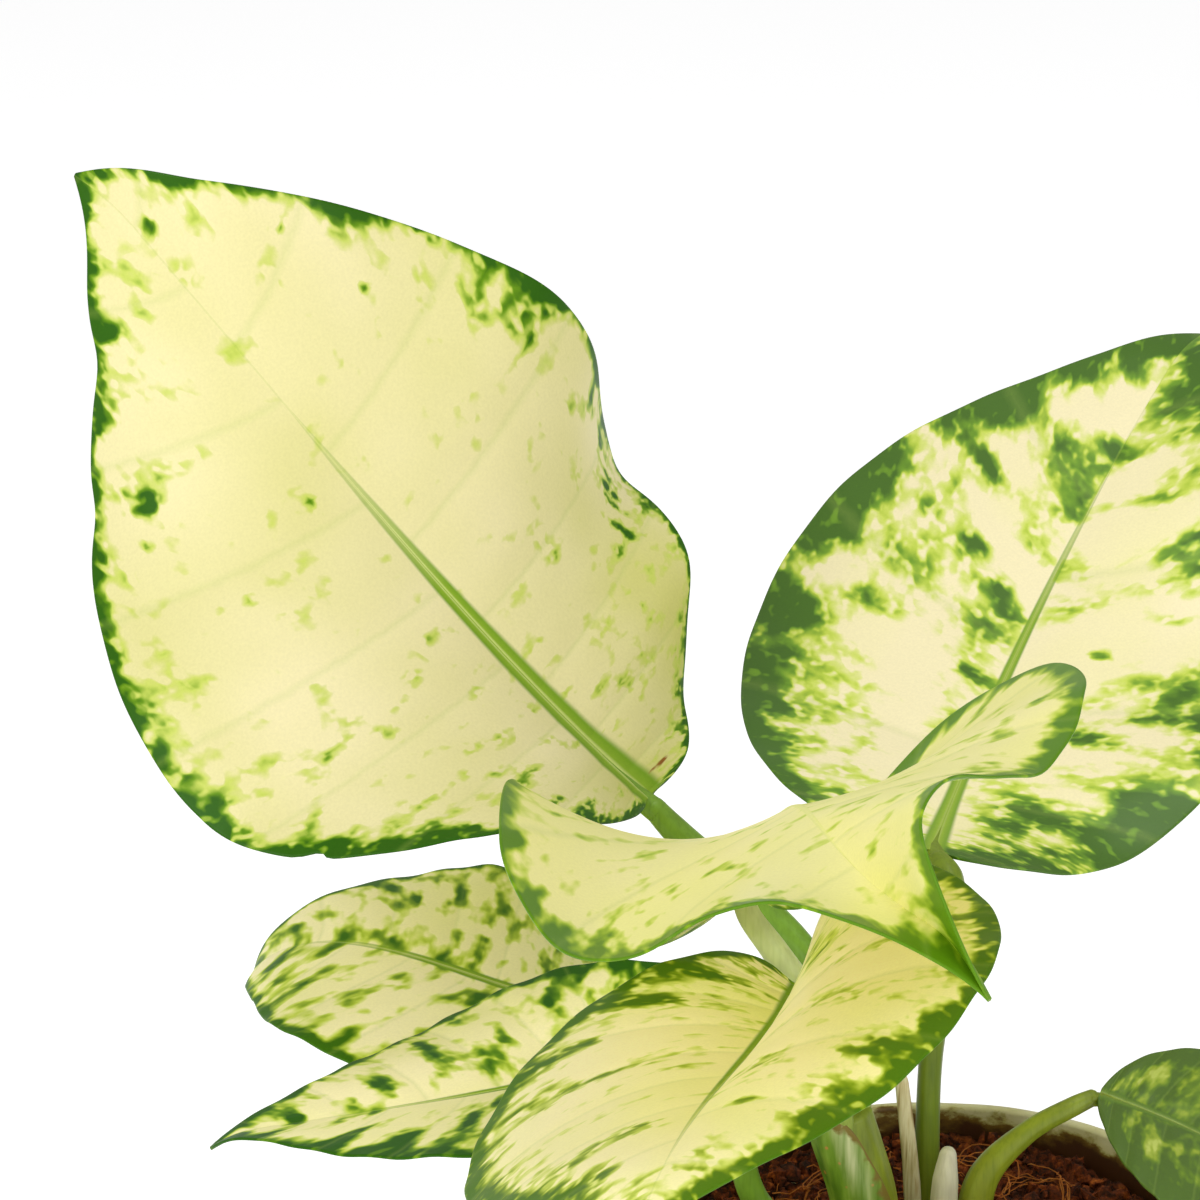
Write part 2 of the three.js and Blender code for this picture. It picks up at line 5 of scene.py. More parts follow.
import bmesh
import bpy
import numpy as np
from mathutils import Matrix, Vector


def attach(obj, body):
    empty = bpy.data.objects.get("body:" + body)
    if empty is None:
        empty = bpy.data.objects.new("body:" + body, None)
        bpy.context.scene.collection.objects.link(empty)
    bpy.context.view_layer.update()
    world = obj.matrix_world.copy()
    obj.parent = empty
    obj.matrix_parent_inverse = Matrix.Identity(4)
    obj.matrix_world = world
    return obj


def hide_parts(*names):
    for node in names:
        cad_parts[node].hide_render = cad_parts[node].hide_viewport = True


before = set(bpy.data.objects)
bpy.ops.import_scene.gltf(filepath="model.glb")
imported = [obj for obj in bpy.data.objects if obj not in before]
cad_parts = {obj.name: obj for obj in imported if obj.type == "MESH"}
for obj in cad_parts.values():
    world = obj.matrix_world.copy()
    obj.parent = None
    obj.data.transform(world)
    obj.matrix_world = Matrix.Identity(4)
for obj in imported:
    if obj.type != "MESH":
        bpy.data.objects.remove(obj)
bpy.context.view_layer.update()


# Pot
# A thin round nursery pot in cream polypropylene, moulded in one piece with a band under its rolled lip
# and six drain holes. Use has left water marks, soil and a green-brown film on its rim.
def linear(code):
    """An sRGB hex colour as linear red, green, blue and alpha."""
    shares = [int(code[i : i + 2], 16) / 255 for i in (1, 3, 5)]
    return [c / 12.92 if c <= 0.04045 else ((c + 0.055) / 1.055) ** 2.4 for c in shares] + [1]


def first(node):
    """The output that carries a node's result."""
    return next(socket for socket in node.outputs if socket.enabled)


def add(tree, kind, inputs=(), stops=None, **settings):
    """Adds one node with its settings: a shader node, unless its kind is written in full.

    Inputs are given by name, or in the node's own order. Each is a value, a hex colour, or what feeds it: a
    socket, or a node for its first output.
    """
    made = tree.nodes.new(kind if kind.startswith(("Geometry", "Function")) else "ShaderNode" + kind)
    for key, value in settings.items():
        setattr(made, key, value)
    if isinstance(inputs, dict):
        given = [(made.inputs[key], value) for key, value in inputs.items()]
    else:
        given = list(zip([socket for socket in made.inputs if socket.enabled], inputs))
    for socket, value in given:
        if isinstance(value, bpy.types.Node):
            value = first(value)
        if isinstance(value, bpy.types.NodeSocket):
            tree.links.new(value, socket)
        else:
            socket.default_value = linear(value) if isinstance(value, str) else value
    if stops:
        ramp = made.color_ramp.elements
        while len(ramp) < len(stops):
            ramp.new(1)
        for element, (place, code) in zip(ramp, stops):
            element.position = place
            element.color = linear(code)
    return made


def calc(tree, operation, *inputs, **settings):
    """One step of arithmetic."""
    return add(tree, "Math", inputs, operation=operation, **settings)


def mix(tree, share, low, high):
    """A colour between two others."""
    return add(tree, "Mix", (share, low, high), data_type="RGBA")


def ease(tree, *inputs):
    """A range mapped with soft ends."""
    return add(tree, "MapRange", inputs, interpolation_type="SMOOTHSTEP")


def drawn_noise(tree, place, scale, offset=(0, 0, 0), **values):
    """Noise drawn out by its own scale on each axis."""
    moved = add(tree, "Mapping", {"Vector": place, "Scale": scale, "Location": offset})
    return add(tree, "TexNoise", {"Vector": moved, "Scale": 1, **values})


def carried(tree, name):
    """The three numbers that a piece carries at each of its points."""
    numbers = add(tree, "Attribute", attribute_name=name)
    return add(tree, "SeparateXYZ", {"Vector": numbers.outputs["Vector"]})


def dress(tree, shader, colour, relief):
    """Gives a shader its colour and its relief."""
    tree.links.new(first(colour), shader.inputs["Base Color"])
    tree.links.new(first(relief), shader.inputs["Normal"])


def new_material(name, **values):
    """An empty material: itself, its node tree and its shader, whose even values are set on the sockets."""
    material = bpy.data.materials.new(name)
    material.use_nodes = True
    tree = material.node_tree
    shader = tree.nodes["Principled BSDF"]
    for key, value in values.items():
        shader.inputs[key.replace("_", " ")].default_value = value
    return material, tree, shader


MM = 0.001


def show(name, data):
    """A new object in the scene."""
    obj = bpy.data.objects.new(name, data)
    bpy.context.scene.collection.objects.link(obj)
    return obj


def bake(obj, modifier):
    """Keeps what a modifier makes of a piece as its plain mesh."""
    mesh = bpy.data.meshes.new_from_object(obj.evaluated_get(bpy.context.evaluated_depsgraph_get()))
    obj.modifiers.remove(modifier)
    mesh.name = obj.name
    obj.data = mesh


def mesh_piece(name, points, faces, material, nodes):
    """A mesh from points in millimetres, riding on the one body and standing for its nodes."""
    mesh = bpy.data.meshes.new(name)
    mesh.from_pydata((np.asarray(points) * MM).tolist(), [], [tuple(f) for f in faces])
    mesh.validate()
    mesh.update()
    obj = show(name, mesh)
    mesh.materials.append(material)
    mesh.shade_smooth()
    return claim(obj, nodes)


def claim(obj, nodes):
    """The piece rides on the one body and stands for its nodes."""
    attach(obj, "root")
    if nodes:
        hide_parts(*nodes)
    return obj


def ring_faces(rings, count):
    """Quads that join rings of the same count, closed round."""
    faces = []
    for i in range(rings - 1):
        for j in range(count):
            k = (j + 1) % count
            a = i * count
            faces.append((a + j, a + k, a + count + k, a + count + j))
    return faces


def sheet_faces(rows, wide):
    """Faces of a thin sheet from the grids of its two sides, closed round the border."""
    count = (rows + 1) * wide
    i, j = np.meshgrid(np.arange(rows), np.arange(wide - 1), indexing="ij")
    a = (i * wide + j).ravel()
    top = np.stack([a, a + wide, a + wide + 1, a + 1], 1)
    under = np.stack([a, a + 1, a + wide + 1, a + wide], 1) + count
    border = list(range(wide)) + [r * wide + wide - 1 for r in range(1, rows + 1)]
    border += [rows * wide + c for c in range(wide - 2, -1, -1)]
    border += [r * wide for r in range(rows - 1, 0, -1)]
    rim = [(p, q, count + q, count + p) for p, q in zip(border, border[1:] + border[:1])]
    return np.concatenate([top, under]).tolist() + rim


POT_HEIGHT, SOIL_LEVEL, POT_FLOOR = 95.0, 85.0, 1.8
FOOT, SHOULDER, RIM, WALL, LIP = 37.5, 49.6, 55.0, 1.3, 2.6
SHOULDER_HEIGHT, RIM_WAVE = 79.0, 0.5
BAND = RIM - 1.2
lip_inner = RIM - LIP
lip = [
    (RIM - LIP / 2 + (LIP / 2) * math.cos(a), POT_HEIGHT - 0.95 + 0.95 * math.sin(a))
    for a in np.linspace(0, math.pi, 9)
]
profile = [
    (0.01, 0.0), (18.75, 0.0), (FOOT - 1, 0.0), (FOOT - 0.3, 0.3), (FOOT, 1.0),
    (40.6, 21.0), (43.7, 41.0), (46.7, 60.0), (SHOULDER - 0.1, SHOULDER_HEIGHT - 0.7),
    (SHOULDER + 0.3, SHOULDER_HEIGHT), (BAND - 1.5, SHOULDER_HEIGHT + 1.0),
    (BAND - 1.0, SHOULDER_HEIGHT + 1.5),
    (BAND - 0.5, 85.0), (BAND, POT_HEIGHT - 5.0), (BAND + 0.6, POT_HEIGHT - 4.5), (RIM, POT_HEIGHT - 3.9),
    *lip,
    (lip_inner, POT_HEIGHT - 1.4), (lip_inner - 0.15, 90.5), (52.0, 86.0),
    (BAND - 1 - WALL, SHOULDER_HEIGHT + 2.2), (SHOULDER - WALL, SHOULDER_HEIGHT + 0.6),
    (45.0, 60.0), (41.6, 40.0), (38.6, 21.0),
    (FOOT - WALL, POT_FLOOR), (18.75, POT_FLOOR), (0.01, POT_FLOOR),
]
SECTORS = 168
turn = np.linspace(0, 2 * math.pi, SECTORS, endpoint=False)
rings = []
for radius, height in profile:
    share = np.clip((height - SOIL_LEVEL) / (POT_HEIGHT - SOIL_LEVEL), 0, 1)
    share = share * share * (3 - 2 * share)
    out = radius * (1 + share * RIM_WAVE * np.sin(2 * turn + 0.6) / RIM)
    # small dents that a thin rim gets in handling
    out = out + share * 0.16 * np.sin(9 * turn + 1.1) * np.sin(4 * turn)
    rise = height + share * (0.3 * np.sin(3 * turn - 0.5) + 0.12 * np.sin(11 * turn) * np.sin(5 * turn + 2))
    rings.append(np.stack([out * np.cos(turn), out * np.sin(turn), rise + 0 * turn], 1))
pot_points = np.concatenate(rings)
pot_faces = ring_faces(len(profile), SECTORS)
last = (len(profile) - 1) * SECTORS
pot_faces.append(tuple(range(SECTORS))[::-1])
pot_faces.append(tuple(last + j for j in range(SECTORS)))

# Moulded polypropylene: satin cream, dulled by water marks and soil
pot_plastic, tree, shader = new_material("stained_polypropylene", Roughness=0.45, IOR=1.49)
place = add(tree, "TexCoord").outputs["Object"]
part = add(tree, "SeparateXYZ", {"Vector": place})
# Stains about a centimetre across, drawn out round the pot
stains = drawn_noise(tree, place, (95, 95, 170), Detail=6, Roughness=0.66)
# The wall inside the lip, where wet soil has stood, is the brownest
level = calc(tree, "MULTIPLY", part.outputs["X"], part.outputs["X"])
level = calc(tree, "MULTIPLY_ADD", part.outputs["Y"], part.outputs["Y"], level)
reach = calc(tree, "SQRT", level)
inside = add(tree, "MapRange", (reach, 0.0529, 0.0524, 0.0, 1.0))
high = add(tree, "MapRange", (part.outputs["Z"], 0.08, 0.084))
soiled = calc(tree, "MULTIPLY", inside, high)
above = add(tree, "MapRange", (part.outputs["Z"], 0.0955, 0.086, 0.1, 0.6))
soiled = calc(tree, "MULTIPLY", soiled, above)
stained = calc(tree, "ADD", stains, soiled)
tone = add(
    tree, "ValToRGB", {"Fac": stained},
    stops=[(0.42, "#E8E2BE"), (0.62, "#DAD3A4"), (0.7, "#B9AF72"), (0.77, "#7A5E22"), (0.92, "#45240C")],
)
grain = add(tree, "TexNoise", {"Vector": place, "Scale": 900, "Detail": 2})
bump = add(tree, "Bump", {"Height": grain, "Strength": 0.12, "Distance": 0.0002})
dress(tree, shader, tone, bump)

pot = mesh_piece("nursery_pot", pot_points, pot_faces, pot_plastic, ["pot"])
# The six drain holes are bored through the floor
HOLES, HOLE_CIRCLE, BORE = 6, 27 * MM, 4 * MM
bits = bmesh.new()
for i in range(HOLES):
    angle = 2 * math.pi * i / HOLES
    middle = Vector((HOLE_CIRCLE * math.cos(angle), HOLE_CIRCLE * math.sin(angle), 0.0009))
    made = bmesh.ops.create_cone(bits, cap_ends=True, segments=28, radius1=BORE, radius2=BORE, depth=8 * MM)
    bmesh.ops.translate(bits, verts=made["verts"], vec=middle)
bit_mesh = bpy.data.meshes.new("drain_bits")
bits.to_mesh(bit_mesh)
bits.free()
bit = show("drain_bits", bit_mesh)
cut = pot.modifiers.new("drain", "BOOLEAN")
cut.object, cut.operation, cut.solver = bit, "DIFFERENCE", "EXACT"
bake(pot, cut)
bpy.data.objects.remove(bit)
for face in pot.data.polygons:
    face.use_smooth = True
pot.data.set_sharp_from_angle(angle=math.radians(38))


# Stalks, shoot and old sheath
# Smooth green leaf stalks that rise from one short wrapped shoot, or alone from the soil. They are round,
# with fine stripes along them and a shallow channel on the upper side.
def line_through(stations, shares):
    """Points on the smooth line through a run's points, and the direction and radius there."""
    knots = np.array([s[:3] for s in stations], float)
    count = len(knots)

    def at(share):
        place = min(max(share, 0.0), 1.0) * (count - 1)
        i = min(int(place), count - 2)
        w = place - i
        p1, p2 = knots[i], knots[i + 1]
        p0 = knots[i - 1] if i > 0 else 2 * knots[0] - knots[1]
        p3 = knots[i + 2] if i + 2 < count else 2 * knots[-1] - knots[-2]
        d0, d1, d2 = (max(np.linalg.norm(b - a) ** 0.5, 1e-4) for a, b in ((p0, p1), (p1, p2), (p2, p3)))
        t1 = ((p1 - p0) / d0 - (p2 - p0) / (d0 + d1) + (p2 - p1) / d1) * d1
        t2 = ((p2 - p1) / d1 - (p3 - p1) / (d1 + d2) + (p3 - p2) / d2) * d1
        c2 = -3 * p1 + 3 * p2 - 2 * t1 - t2
        c3 = 2 * p1 - 2 * p2 + t1 + t2
        return p1 + t1 * w + c2 * w * w + c3 * w**3

    points, ways, radii = [], [], []
    for share in shares:
        points.append(at(share))
        way = at(min(share + 1e-4, 1)) - at(max(share - 1e-4, 0))
        ways.append(way / np.linalg.norm(way))
        place = share * (count - 1)
        radii.append(np.interp(place, range(count), [s[3] for s in stations]))
    return np.array(points), np.array(ways), np.array(radii)


def run_piece(
    name, stations, material, nodes,
    depth=0.92, sides=28, steps=72, channel=0.0, ribs=0.04, tone=0.0,
):
    """A stalk along its run, with a channel on its upper side and ribs along it, closed by a domed end.

    Tone is the share of the stalk's colours at which the piece starts.
    """
    shares = np.linspace(0, 1, steps)
    middles, ways, radii = line_through(stations, shares)
    side = np.array([1.0, 0, 0])
    turn = np.linspace(0, 2 * math.pi, sides, endpoint=False)
    points, run = [], []
    length = np.concatenate([[0], np.cumsum(np.linalg.norm(np.diff(middles, axis=0), axis=1))])
    for i in range(steps):
        side = side - ways[i] * side.dot(ways[i])
        side /= np.linalg.norm(side)
        back = np.cross(ways[i], side)
        dome = math.sqrt(max(1 - max(0, (i - steps + 4) / 4) ** 2, 0.04))
        radius = radii[i] * dome
        groove = channel * np.exp(-((turn - math.pi / 2) / 0.45) ** 2)
        bulk = 1 + ribs * np.sin(9 * turn + 2 * shares[i]) * 0.5 - groove
        bulk = bulk + 0.02 * math.sin(0.21 * length[i]) + 0.015 * np.sin(2 * turn + 0.13 * length[i])
        ring = middles[i] + np.outer(radius * bulk * np.cos(turn), side)
        points.append(ring + np.outer(radius * depth * bulk * np.sin(turn), back))
        shade = max(tone, length[i] / length[-1])
        run.append(np.stack([np.full(sides, length[i]), turn, np.full(sides, shade)], 1))
    points.append(middles[:1])
    points.append(middles[-1:] + ways[-1:] * 0.25 * radii[-1])
    run.append([[0, 0, tone]])
    run.append([[length[-1], 0, 1]])
    faces = ring_faces(steps, sides)
    foot, top = steps * sides, steps * sides + 1
    for j in range(sides):
        k = (j + 1) % sides
        faces.append((foot, k, j))
        faces.append((top, foot - sides + j, foot - sides + k))
    obj = mesh_piece(name, np.concatenate(points), faces, material, nodes)
    put_attribute(obj, "run", np.concatenate(run))
    return obj


def put_attribute(obj, name, values):
    """Three numbers at each point of a piece, for its material to read."""
    layer = obj.data.attributes.new(name, "FLOAT_VECTOR", "POINT")
    layer.data.foreach_set("vector", np.asarray(values, np.float32).ravel())


def stalk_skin(name, foot, middle, top, fleck, seed, rough=0.42):
    """Living stalk skin: a smooth waxy green that pales to its ends, striped along and flecked."""
    skin, tree, shader = new_material(name, Roughness=rough, IOR=1.42)
    shader.inputs["Subsurface Weight"].default_value = 0.12
    shader.inputs["Subsurface Radius"].default_value = (0.7, 1.0, 0.25)
    shader.inputs["Subsurface Scale"].default_value = 0.0012
    tones = [(0.0, foot), (0.45, middle), (1.0, top)]
    along = add(tree, "ValToRGB", {"Fac": carried(tree, "run").outputs["Z"]}, stops=tones)
    # Stripes about 0.6 mm wide that run the length of the stalk
    place = add(tree, "TexCoord").outputs["Object"]
    stripes = drawn_noise(tree, place, (1500, 1500, 60), (seed, 0, 0), Detail=2)
    dark = add(tree, "MapRange", (stripes, 0.45, 0.75, 0, 0.35))
    striped = mix(tree, dark, along, fleck)
    # Softer light and dark clouds, about a centimetre long
    clouds = drawn_noise(tree, place, (260, 260, 90), (0, seed, 0), Detail=3)
    value = add(tree, "MapRange", (clouds, 0.3, 0.7, 0.85, 1.15))
    toned = add(tree, "HueSaturation", {"Color": striped, "Value": value})
    bump = add(tree, "Bump", {"Height": stripes, "Strength": 0.15, "Distance": 0.0003})
    dress(tree, shader, toned, bump)
    return skin


stalk_green = stalk_skin("waxy_green_stalk", "#A9B95A", "#6F9628", "#779C2A", "#567A1C", 3)
stalk_dark = stalk_skin("waxy_deep_green_stalk", "#8C9230", "#65790A", "#74881A", "#465E08", 7)
stalk_pale = stalk_skin("waxy_pale_stalk", "#9CB25C", "#BCC67C", "#C6CE88", "#A5B562", 11)
stalk_bright = stalk_skin("waxy_bright_stalk", "#A8B040", "#8A9420", "#7C8C1C", "#5A6E0C", 17)

STALKS = {
    "a": (
        [
            (-14.9, 0.2, 112, 2.4), (-15.3, 3, 124, 2.8), (-19.5, 10.5, 136, 2.9), (-27.5, 19, 146, 2.9),
            (-51, 25, 166.5, 2.8), (-56.5, 25.8, 172.4, 2.3),
        ],
        stalk_green,
    ),
    "b": (
        [
            (-0.3, 10, 66, 2.6), (-0.2, 10, 90, 2.5), (0.2, 12, 124, 2.4), (4, 15, 150, 2.5),
            (3.6, 18.5, 159.2, 2.6), (0.6, 23.2, 161.8, 2.2),
        ],
        stalk_dark,
    ),
    "c": (
        [
            (-21.7, -0.6, 112, 2.4), (-22.4, -1.4, 126, 2.7), (-25.5, -3, 141.5, 2.8),
            (-32, -3.6, 152.2, 2.7), (-37.2, -3, 159.8, 2.4), (-38.5, -2.1, 164.4, 2.1),
        ],
        stalk_pale,
    ),
    "d": (
        [
            (-19.7, 3.3, 112, 2.2), (-24, 7, 117.5, 2.4), (-36, 20, 120.5, 2.4), (-50, 30.5, 121.8, 2.4),
            (-60.7, 33.9, 122.3, 1.9),
        ],
        stalk_green,
    ),
    "e": (
        [
            (-21, -2, 68, 2.9), (-26, -3, 86, 2.9), (-36, -5, 101, 2.7), (-38.8, -8, 116, 2.5),
            (-39.2, -11, 130, 2.4), (-42.4, -13, 135.8, 2.3), (-46.1, -13.8, 136.8, 2.1),
        ],
        stalk_green,
    ),
    "f": (
        [
            (-18, -3.8, 112, 2.2), (-19.5, -7.4, 126, 2.5), (-22.4, -13, 142, 2.5),
            (-26.2, -18.4, 150.4, 2.4), (-27.1, -20.9, 151.3, 2.2),
        ],
        stalk_green,
    ),
    "g": (
        [
            (7, -3, 68, 3.6), (8, -3, 88, 3.9), (10, -2.5, 103, 3.2), (18.6, -1.5, 112.5, 2.3),
            (28, 0, 117.6, 2), (32.7, 1.8, 119.1, 1.6),
        ],
        stalk_bright,
    ),
}
for key, (stations, skin) in STALKS.items():
    run_piece(f"leaf_stalk_{key}", stations, skin, [f"stalk_{key}"], channel=0.1)

SHOOT = [
    (-10.5, 0, 64, 5.2), (-11, 0, 84, 5.7), (-13, 0, 98, 6), (-16.5, 0, 110, 6.2), (-18.3, 0, 116.5, 6),
]
run_piece(
    "wrapped_shoot", SHOOT, stalk_bright, ["main_shoot"], depth=0.95, sides=48, ribs=0.05,
)


def wrap_piece(name, stations, start, finish, thickness, reach, material, nodes):
    """A torn wrap round part of a run: a thin sheet with an inner and an outer face and a ragged top."""
    rows, columns = 60, 72
    turn = np.linspace(0, 1, columns)
    grid = np.linspace(0, 1, rows + 1)
    inner, outer, run = [], [], []
    for share in grid:
        tops = share * reach(turn)
        middles, _, radii = line_through(stations, tops)
        angle = np.radians(start + (finish - start) * turn)
        for face, off in ((inner, 0.6), (outer, 0.6 + thickness)):
            radius = radii + off
            wrinkle = 0.18 * np.sin(34 * turn + 3 * share) * share
            x = middles[:, 0] + (radius + wrinkle) * np.cos(angle)
            y = middles[:, 1] + (radius * 0.95 + 0.06 + wrinkle) * np.sin(angle)
            face.append(np.stack([x, y, middles[:, 2]], 1))
        run.append(np.stack([0 * turn + share, turn, share * reach(turn)], 1))
    points = np.concatenate(inner + outer)
    obj = mesh_piece(name, points, sheet_faces(rows, columns), material, nodes)
    put_attribute(obj, "run", np.concatenate(run + run))
    return obj


# Old sheath: green at its foot and left, drying to papery tan and brown along its torn edge
sheath_skin, tree, shader = new_material("drying_leaf_sheath", Roughness=0.5, IOR=1.42)
parts = carried(tree, "run")
place = add(tree, "TexCoord").outputs["Object"]
stripes = drawn_noise(tree, place, (520, 520, 40), Detail=3)
green = add(
    tree, "ValToRGB", {"Fac": stripes},
    stops=[(0.3, "#547A10"), (0.48, "#6F941E"), (0.62, "#86A636"), (0.8, "#B4C070")],
)
spot_place = add(tree, "TexVoronoi", {"Vector": place, "Scale": 300, "Randomness": 1})
spots = add(tree, "MapRange", (spot_place, 0.1, 0.16, 1, 0))
spotted = mix(tree, spots, green, "#C58A3C")
ragged = add(tree, "TexNoise", {"Vector": place, "Scale": 450, "Detail": 4})
# The pale patch below the torn edge, where the skin has lifted
round_it = calc(tree, "SUBTRACT", parts.outputs["Y"], 0.76)
beside = calc(tree, "ABSOLUTE", round_it)
near = add(tree, "MapRange", (beside, 0.02, 0.14, 1, 0))
high = add(tree, "MapRange", (parts.outputs["X"], 0.55, 0.8))
patchy = add(tree, "MapRange", (stripes, 0.35, 0.6))
pale = calc(tree, "MULTIPLY", near, high)
pale = calc(tree, "MULTIPLY", pale, patchy)
pale = calc(tree, "MULTIPLY", pale, 0.65)
faded = mix(tree, pale, spotted, "#DEDDB0")
# Brown and papery along the torn top and right edge
right_edge = calc(tree, "MULTIPLY_ADD", parts.outputs["Y"], 0.5, 0.5)
edge = calc(tree, "MAXIMUM", parts.outputs["X"], right_edge)
lifted = calc(tree, "MULTIPLY_ADD", ragged, 0.12, edge)
dried = add(tree, "MapRange", (lifted, 0.99, 1.02))
dry_tone = mix(tree, dried, faded, "#7C6A24")
bump = add(tree, "Bump", {"Height": stripes, "Strength": 0.25, "Distance": 0.0004})
dress(tree, shader, dry_tone, bump)


def sheath_reach(turn):
    """How far up the sheath its torn edge stands, from its left side round to its right."""
    torn_edge = 0.02 * np.sin(17 * turn) + 0.008 * np.sin(61 * turn) * turn
    return 0.79 + 0.19 * np.clip((turn - 0.3) / 0.25, 0, 1) - 0.5 * turn**6 + torn_edge


SHEATH_LINE = [*SHOOT[:4], (-20.4, 0, 124, 6)]
wrap_piece(
    "old_sheath", SHEATH_LINE, 118, 318, 0.8, sheath_reach, sheath_skin, ["torn_sheath"],
)


# Dry strip, white sprout and cut stub
# A papery strip of an old sheath, the pale tip of a new shoot and the stub of a stalk that was cut off.
# Each stands in the soil.
dry_husk, tree, shader = new_material("papery_dry_husk", Roughness=0.75, IOR=1.4)
place = add(tree, "TexCoord").outputs["Object"]
fibres = drawn_noise(tree, place, (1400, 1400, 90), Detail=3)
tone = add(
    tree, "ValToRGB", {"Fac": fibres},
    stops=[(0.3, "#8F7A4A"), (0.45, "#C4B684"), (0.6, "#DAD2A6"), (0.75, "#B79C68")],
)
bump = add(tree, "Bump", {"Height": fibres, "Strength": 0.4, "Distance": 0.0004})
dress(tree, shader, tone, bump)
STRIP = [(-2.8, 4.6, 76, 1.7), (-3.6, 5, 98, 1.7), (-6.2, 5.4, 122, 1.3)]
run_piece("papery_strip", STRIP, dry_husk, ["dry_strip"], depth=0.3, sides=20, ribs=0.12)
STUB = [(-26.6, 31.6, 76, 2), (-27.6, 32.1, 86.4, 2)]
run_piece(
    "stalk_stub", STUB, dry_husk, ["cut_stub"], depth=0.75, sides=20, steps=24, ribs=0.1,
)

sprout_skin = stalk_skin("downy_white_sprout", "#A8A868", "#B9B68A", "#D0CCB0", "#97935F", 23, rough=0.62)
SPROUT = [(1.6, -5.5, 74, 2.4), (1.9, -5.6, 93, 3), (2.3, -5.6, 104, 2.6), (2.8, -5.6, 111, 1.5)]
run_piece(
    "pale_sprout", SPROUT, sprout_skin, ["white_sprout"], depth=1, sides=28, steps=48,
    ribs=0.02,
)


# Leaf blades
# Broad leathery leaves, each one grown sheet with a strong midrib below. Chlorophyll is missing from most
# of each blade: it is cream, with lime halos round green and dark green blotches along the side veins.
def blend(values, t):
    """A smooth run through a value at the leaf's foot, one that steers its middle, and one at its tip."""
    return (1 - t) ** 2 * values[0] + 2 * t * (1 - t) * values[1] + t * t * values[2]


def bezier(p, t):
    """A cubic curve through its first and last values."""
    return (1 - t) ** 3 * p[0] + 3 * t * (1 - t) ** 2 * p[1] + 3 * t * t * (1 - t) * p[2] + t**3 * p[3]


SPINE_STEPS, ROW_SPREAD, VEIN_SWEEP, TIP_BEND_START = 480, 1.8, 1.4, 0.88


def pitch_at(leaf, t):
    """How steeply the midrib climbs, with the bend of the last part of the tip."""
    bend = np.clip((t - TIP_BEND_START) / (1 - TIP_BEND_START), 0, 1)
    return np.radians(blend(leaf["pitch"], t) + leaf["tip_bend"] * bend * bend * (3 - 2 * bend))


def edge_of(leaf, u, left):
    """The flat outline of one half: u runs along the edge from the stalk to the tip."""
    w = np.where(left, leaf["half_widths"][0], leaf["half_widths"][1])
    length, lobe, full = leaf["length"], leaf["lobe"], leaf["full"]
    widest = leaf["widest"] * length
    low, high = np.clip(u * 2, 0, 1), np.clip(u * 2 - 1, 0, 1)
    x1 = bezier((0, -1.9 * lobe, widest - full * (widest + lobe), widest), low)
    y1 = bezier((leaf["neck"], 0.42 * w, w, w), low)
    x2 = bezier((widest, widest + full * (length - widest) * 0.8, length * 0.82, length), high)
    y2 = bezier((w, w, leaf["taper"] * w, 0.5), high)
    return np.where(u < 0.5, x1, x2), np.where(u < 0.5, y1, y2)


def spine_of(leaf):
    """The line of the midrib, in short steps of its heading and pitch."""
    t = (np.arange(SPINE_STEPS) + 0.5) / SPINE_STEPS
    heading, pitch = np.radians(blend(leaf["heading"], t)), pitch_at(leaf, t)
    steps = np.stack([np.cos(pitch) * np.cos(heading), np.cos(pitch) * np.sin(heading), np.sin(pitch)], 1)
    start = np.array([leaf["base"]], float)
    return np.concatenate([start, start + np.cumsum(steps * leaf["length"] / SPINE_STEPS, 0)])


def blade_points(leaf, spine, u, s):
    """Points of the blade's middle surface: u along, s from -1 (right edge) over 0 (midrib) to 1 (left)."""
    left = s >= 0
    half = np.where(left, leaf["half_widths"][0], leaf["half_widths"][1])
    edge_x, edge_y = edge_of(leaf, u, left)
    rib_x = leaf["length"] * u**ROW_SPREAD
    x = rib_x + (edge_x - rib_x) * np.abs(s) ** VEIN_SWEEP
    y = edge_y * np.abs(s)
    t = np.clip(x / leaf["length"], 0, 1)
    place = np.minimum(t * SPINE_STEPS, SPINE_STEPS - 1e-9)
    low = place.astype(int)
    part = (place - low)[..., None]
    point = spine[low] * (1 - part) + spine[low + 1] * part
    heading, pitch = np.radians(blend(leaf["heading"], t)), pitch_at(leaf, t)
    roll = np.radians(blend(leaf["roll"], t))[..., None]
    along = np.stack([np.cos(pitch) * np.cos(heading), np.cos(pitch) * np.sin(heading), np.sin(pitch)], -1)
    level = np.stack([-np.sin(heading), np.cos(heading), 0 * heading], -1)
    upright = np.cross(along, level)
    across = level * np.cos(roll) + upright * np.sin(roll)
    up = upright * np.cos(roll) - level * np.sin(roll)
    rise = np.radians(np.where(left, blend(leaf["rise"][0], t), blend(leaf["rise"][1], t)))
    curl = np.radians(np.where(left, blend(leaf["curl"][0], t), blend(leaf["curl"][1], t)))
    bend = np.where(np.abs(curl) < 1e-4, 1e-4, curl) / half
    out = (np.sin(rise + bend * y) - np.sin(rise)) / bend
    wave_l, wave_r = leaf["wave"]
    waves = [w[0] * np.sin(2 * math.pi * w[1] * u + math.radians(w[2])) for w in (wave_l, wave_r)]
    wave = np.where(left, waves[0], waves[1]) * s * s * np.sin(math.pi * u)
    lift = (np.cos(rise) - np.cos(rise + bend * y)) / bend + wave
    point = point + along * np.minimum(x, 0)[..., None]
    return point + across * np.where(left, out, -out)[..., None] + up * lift[..., None]


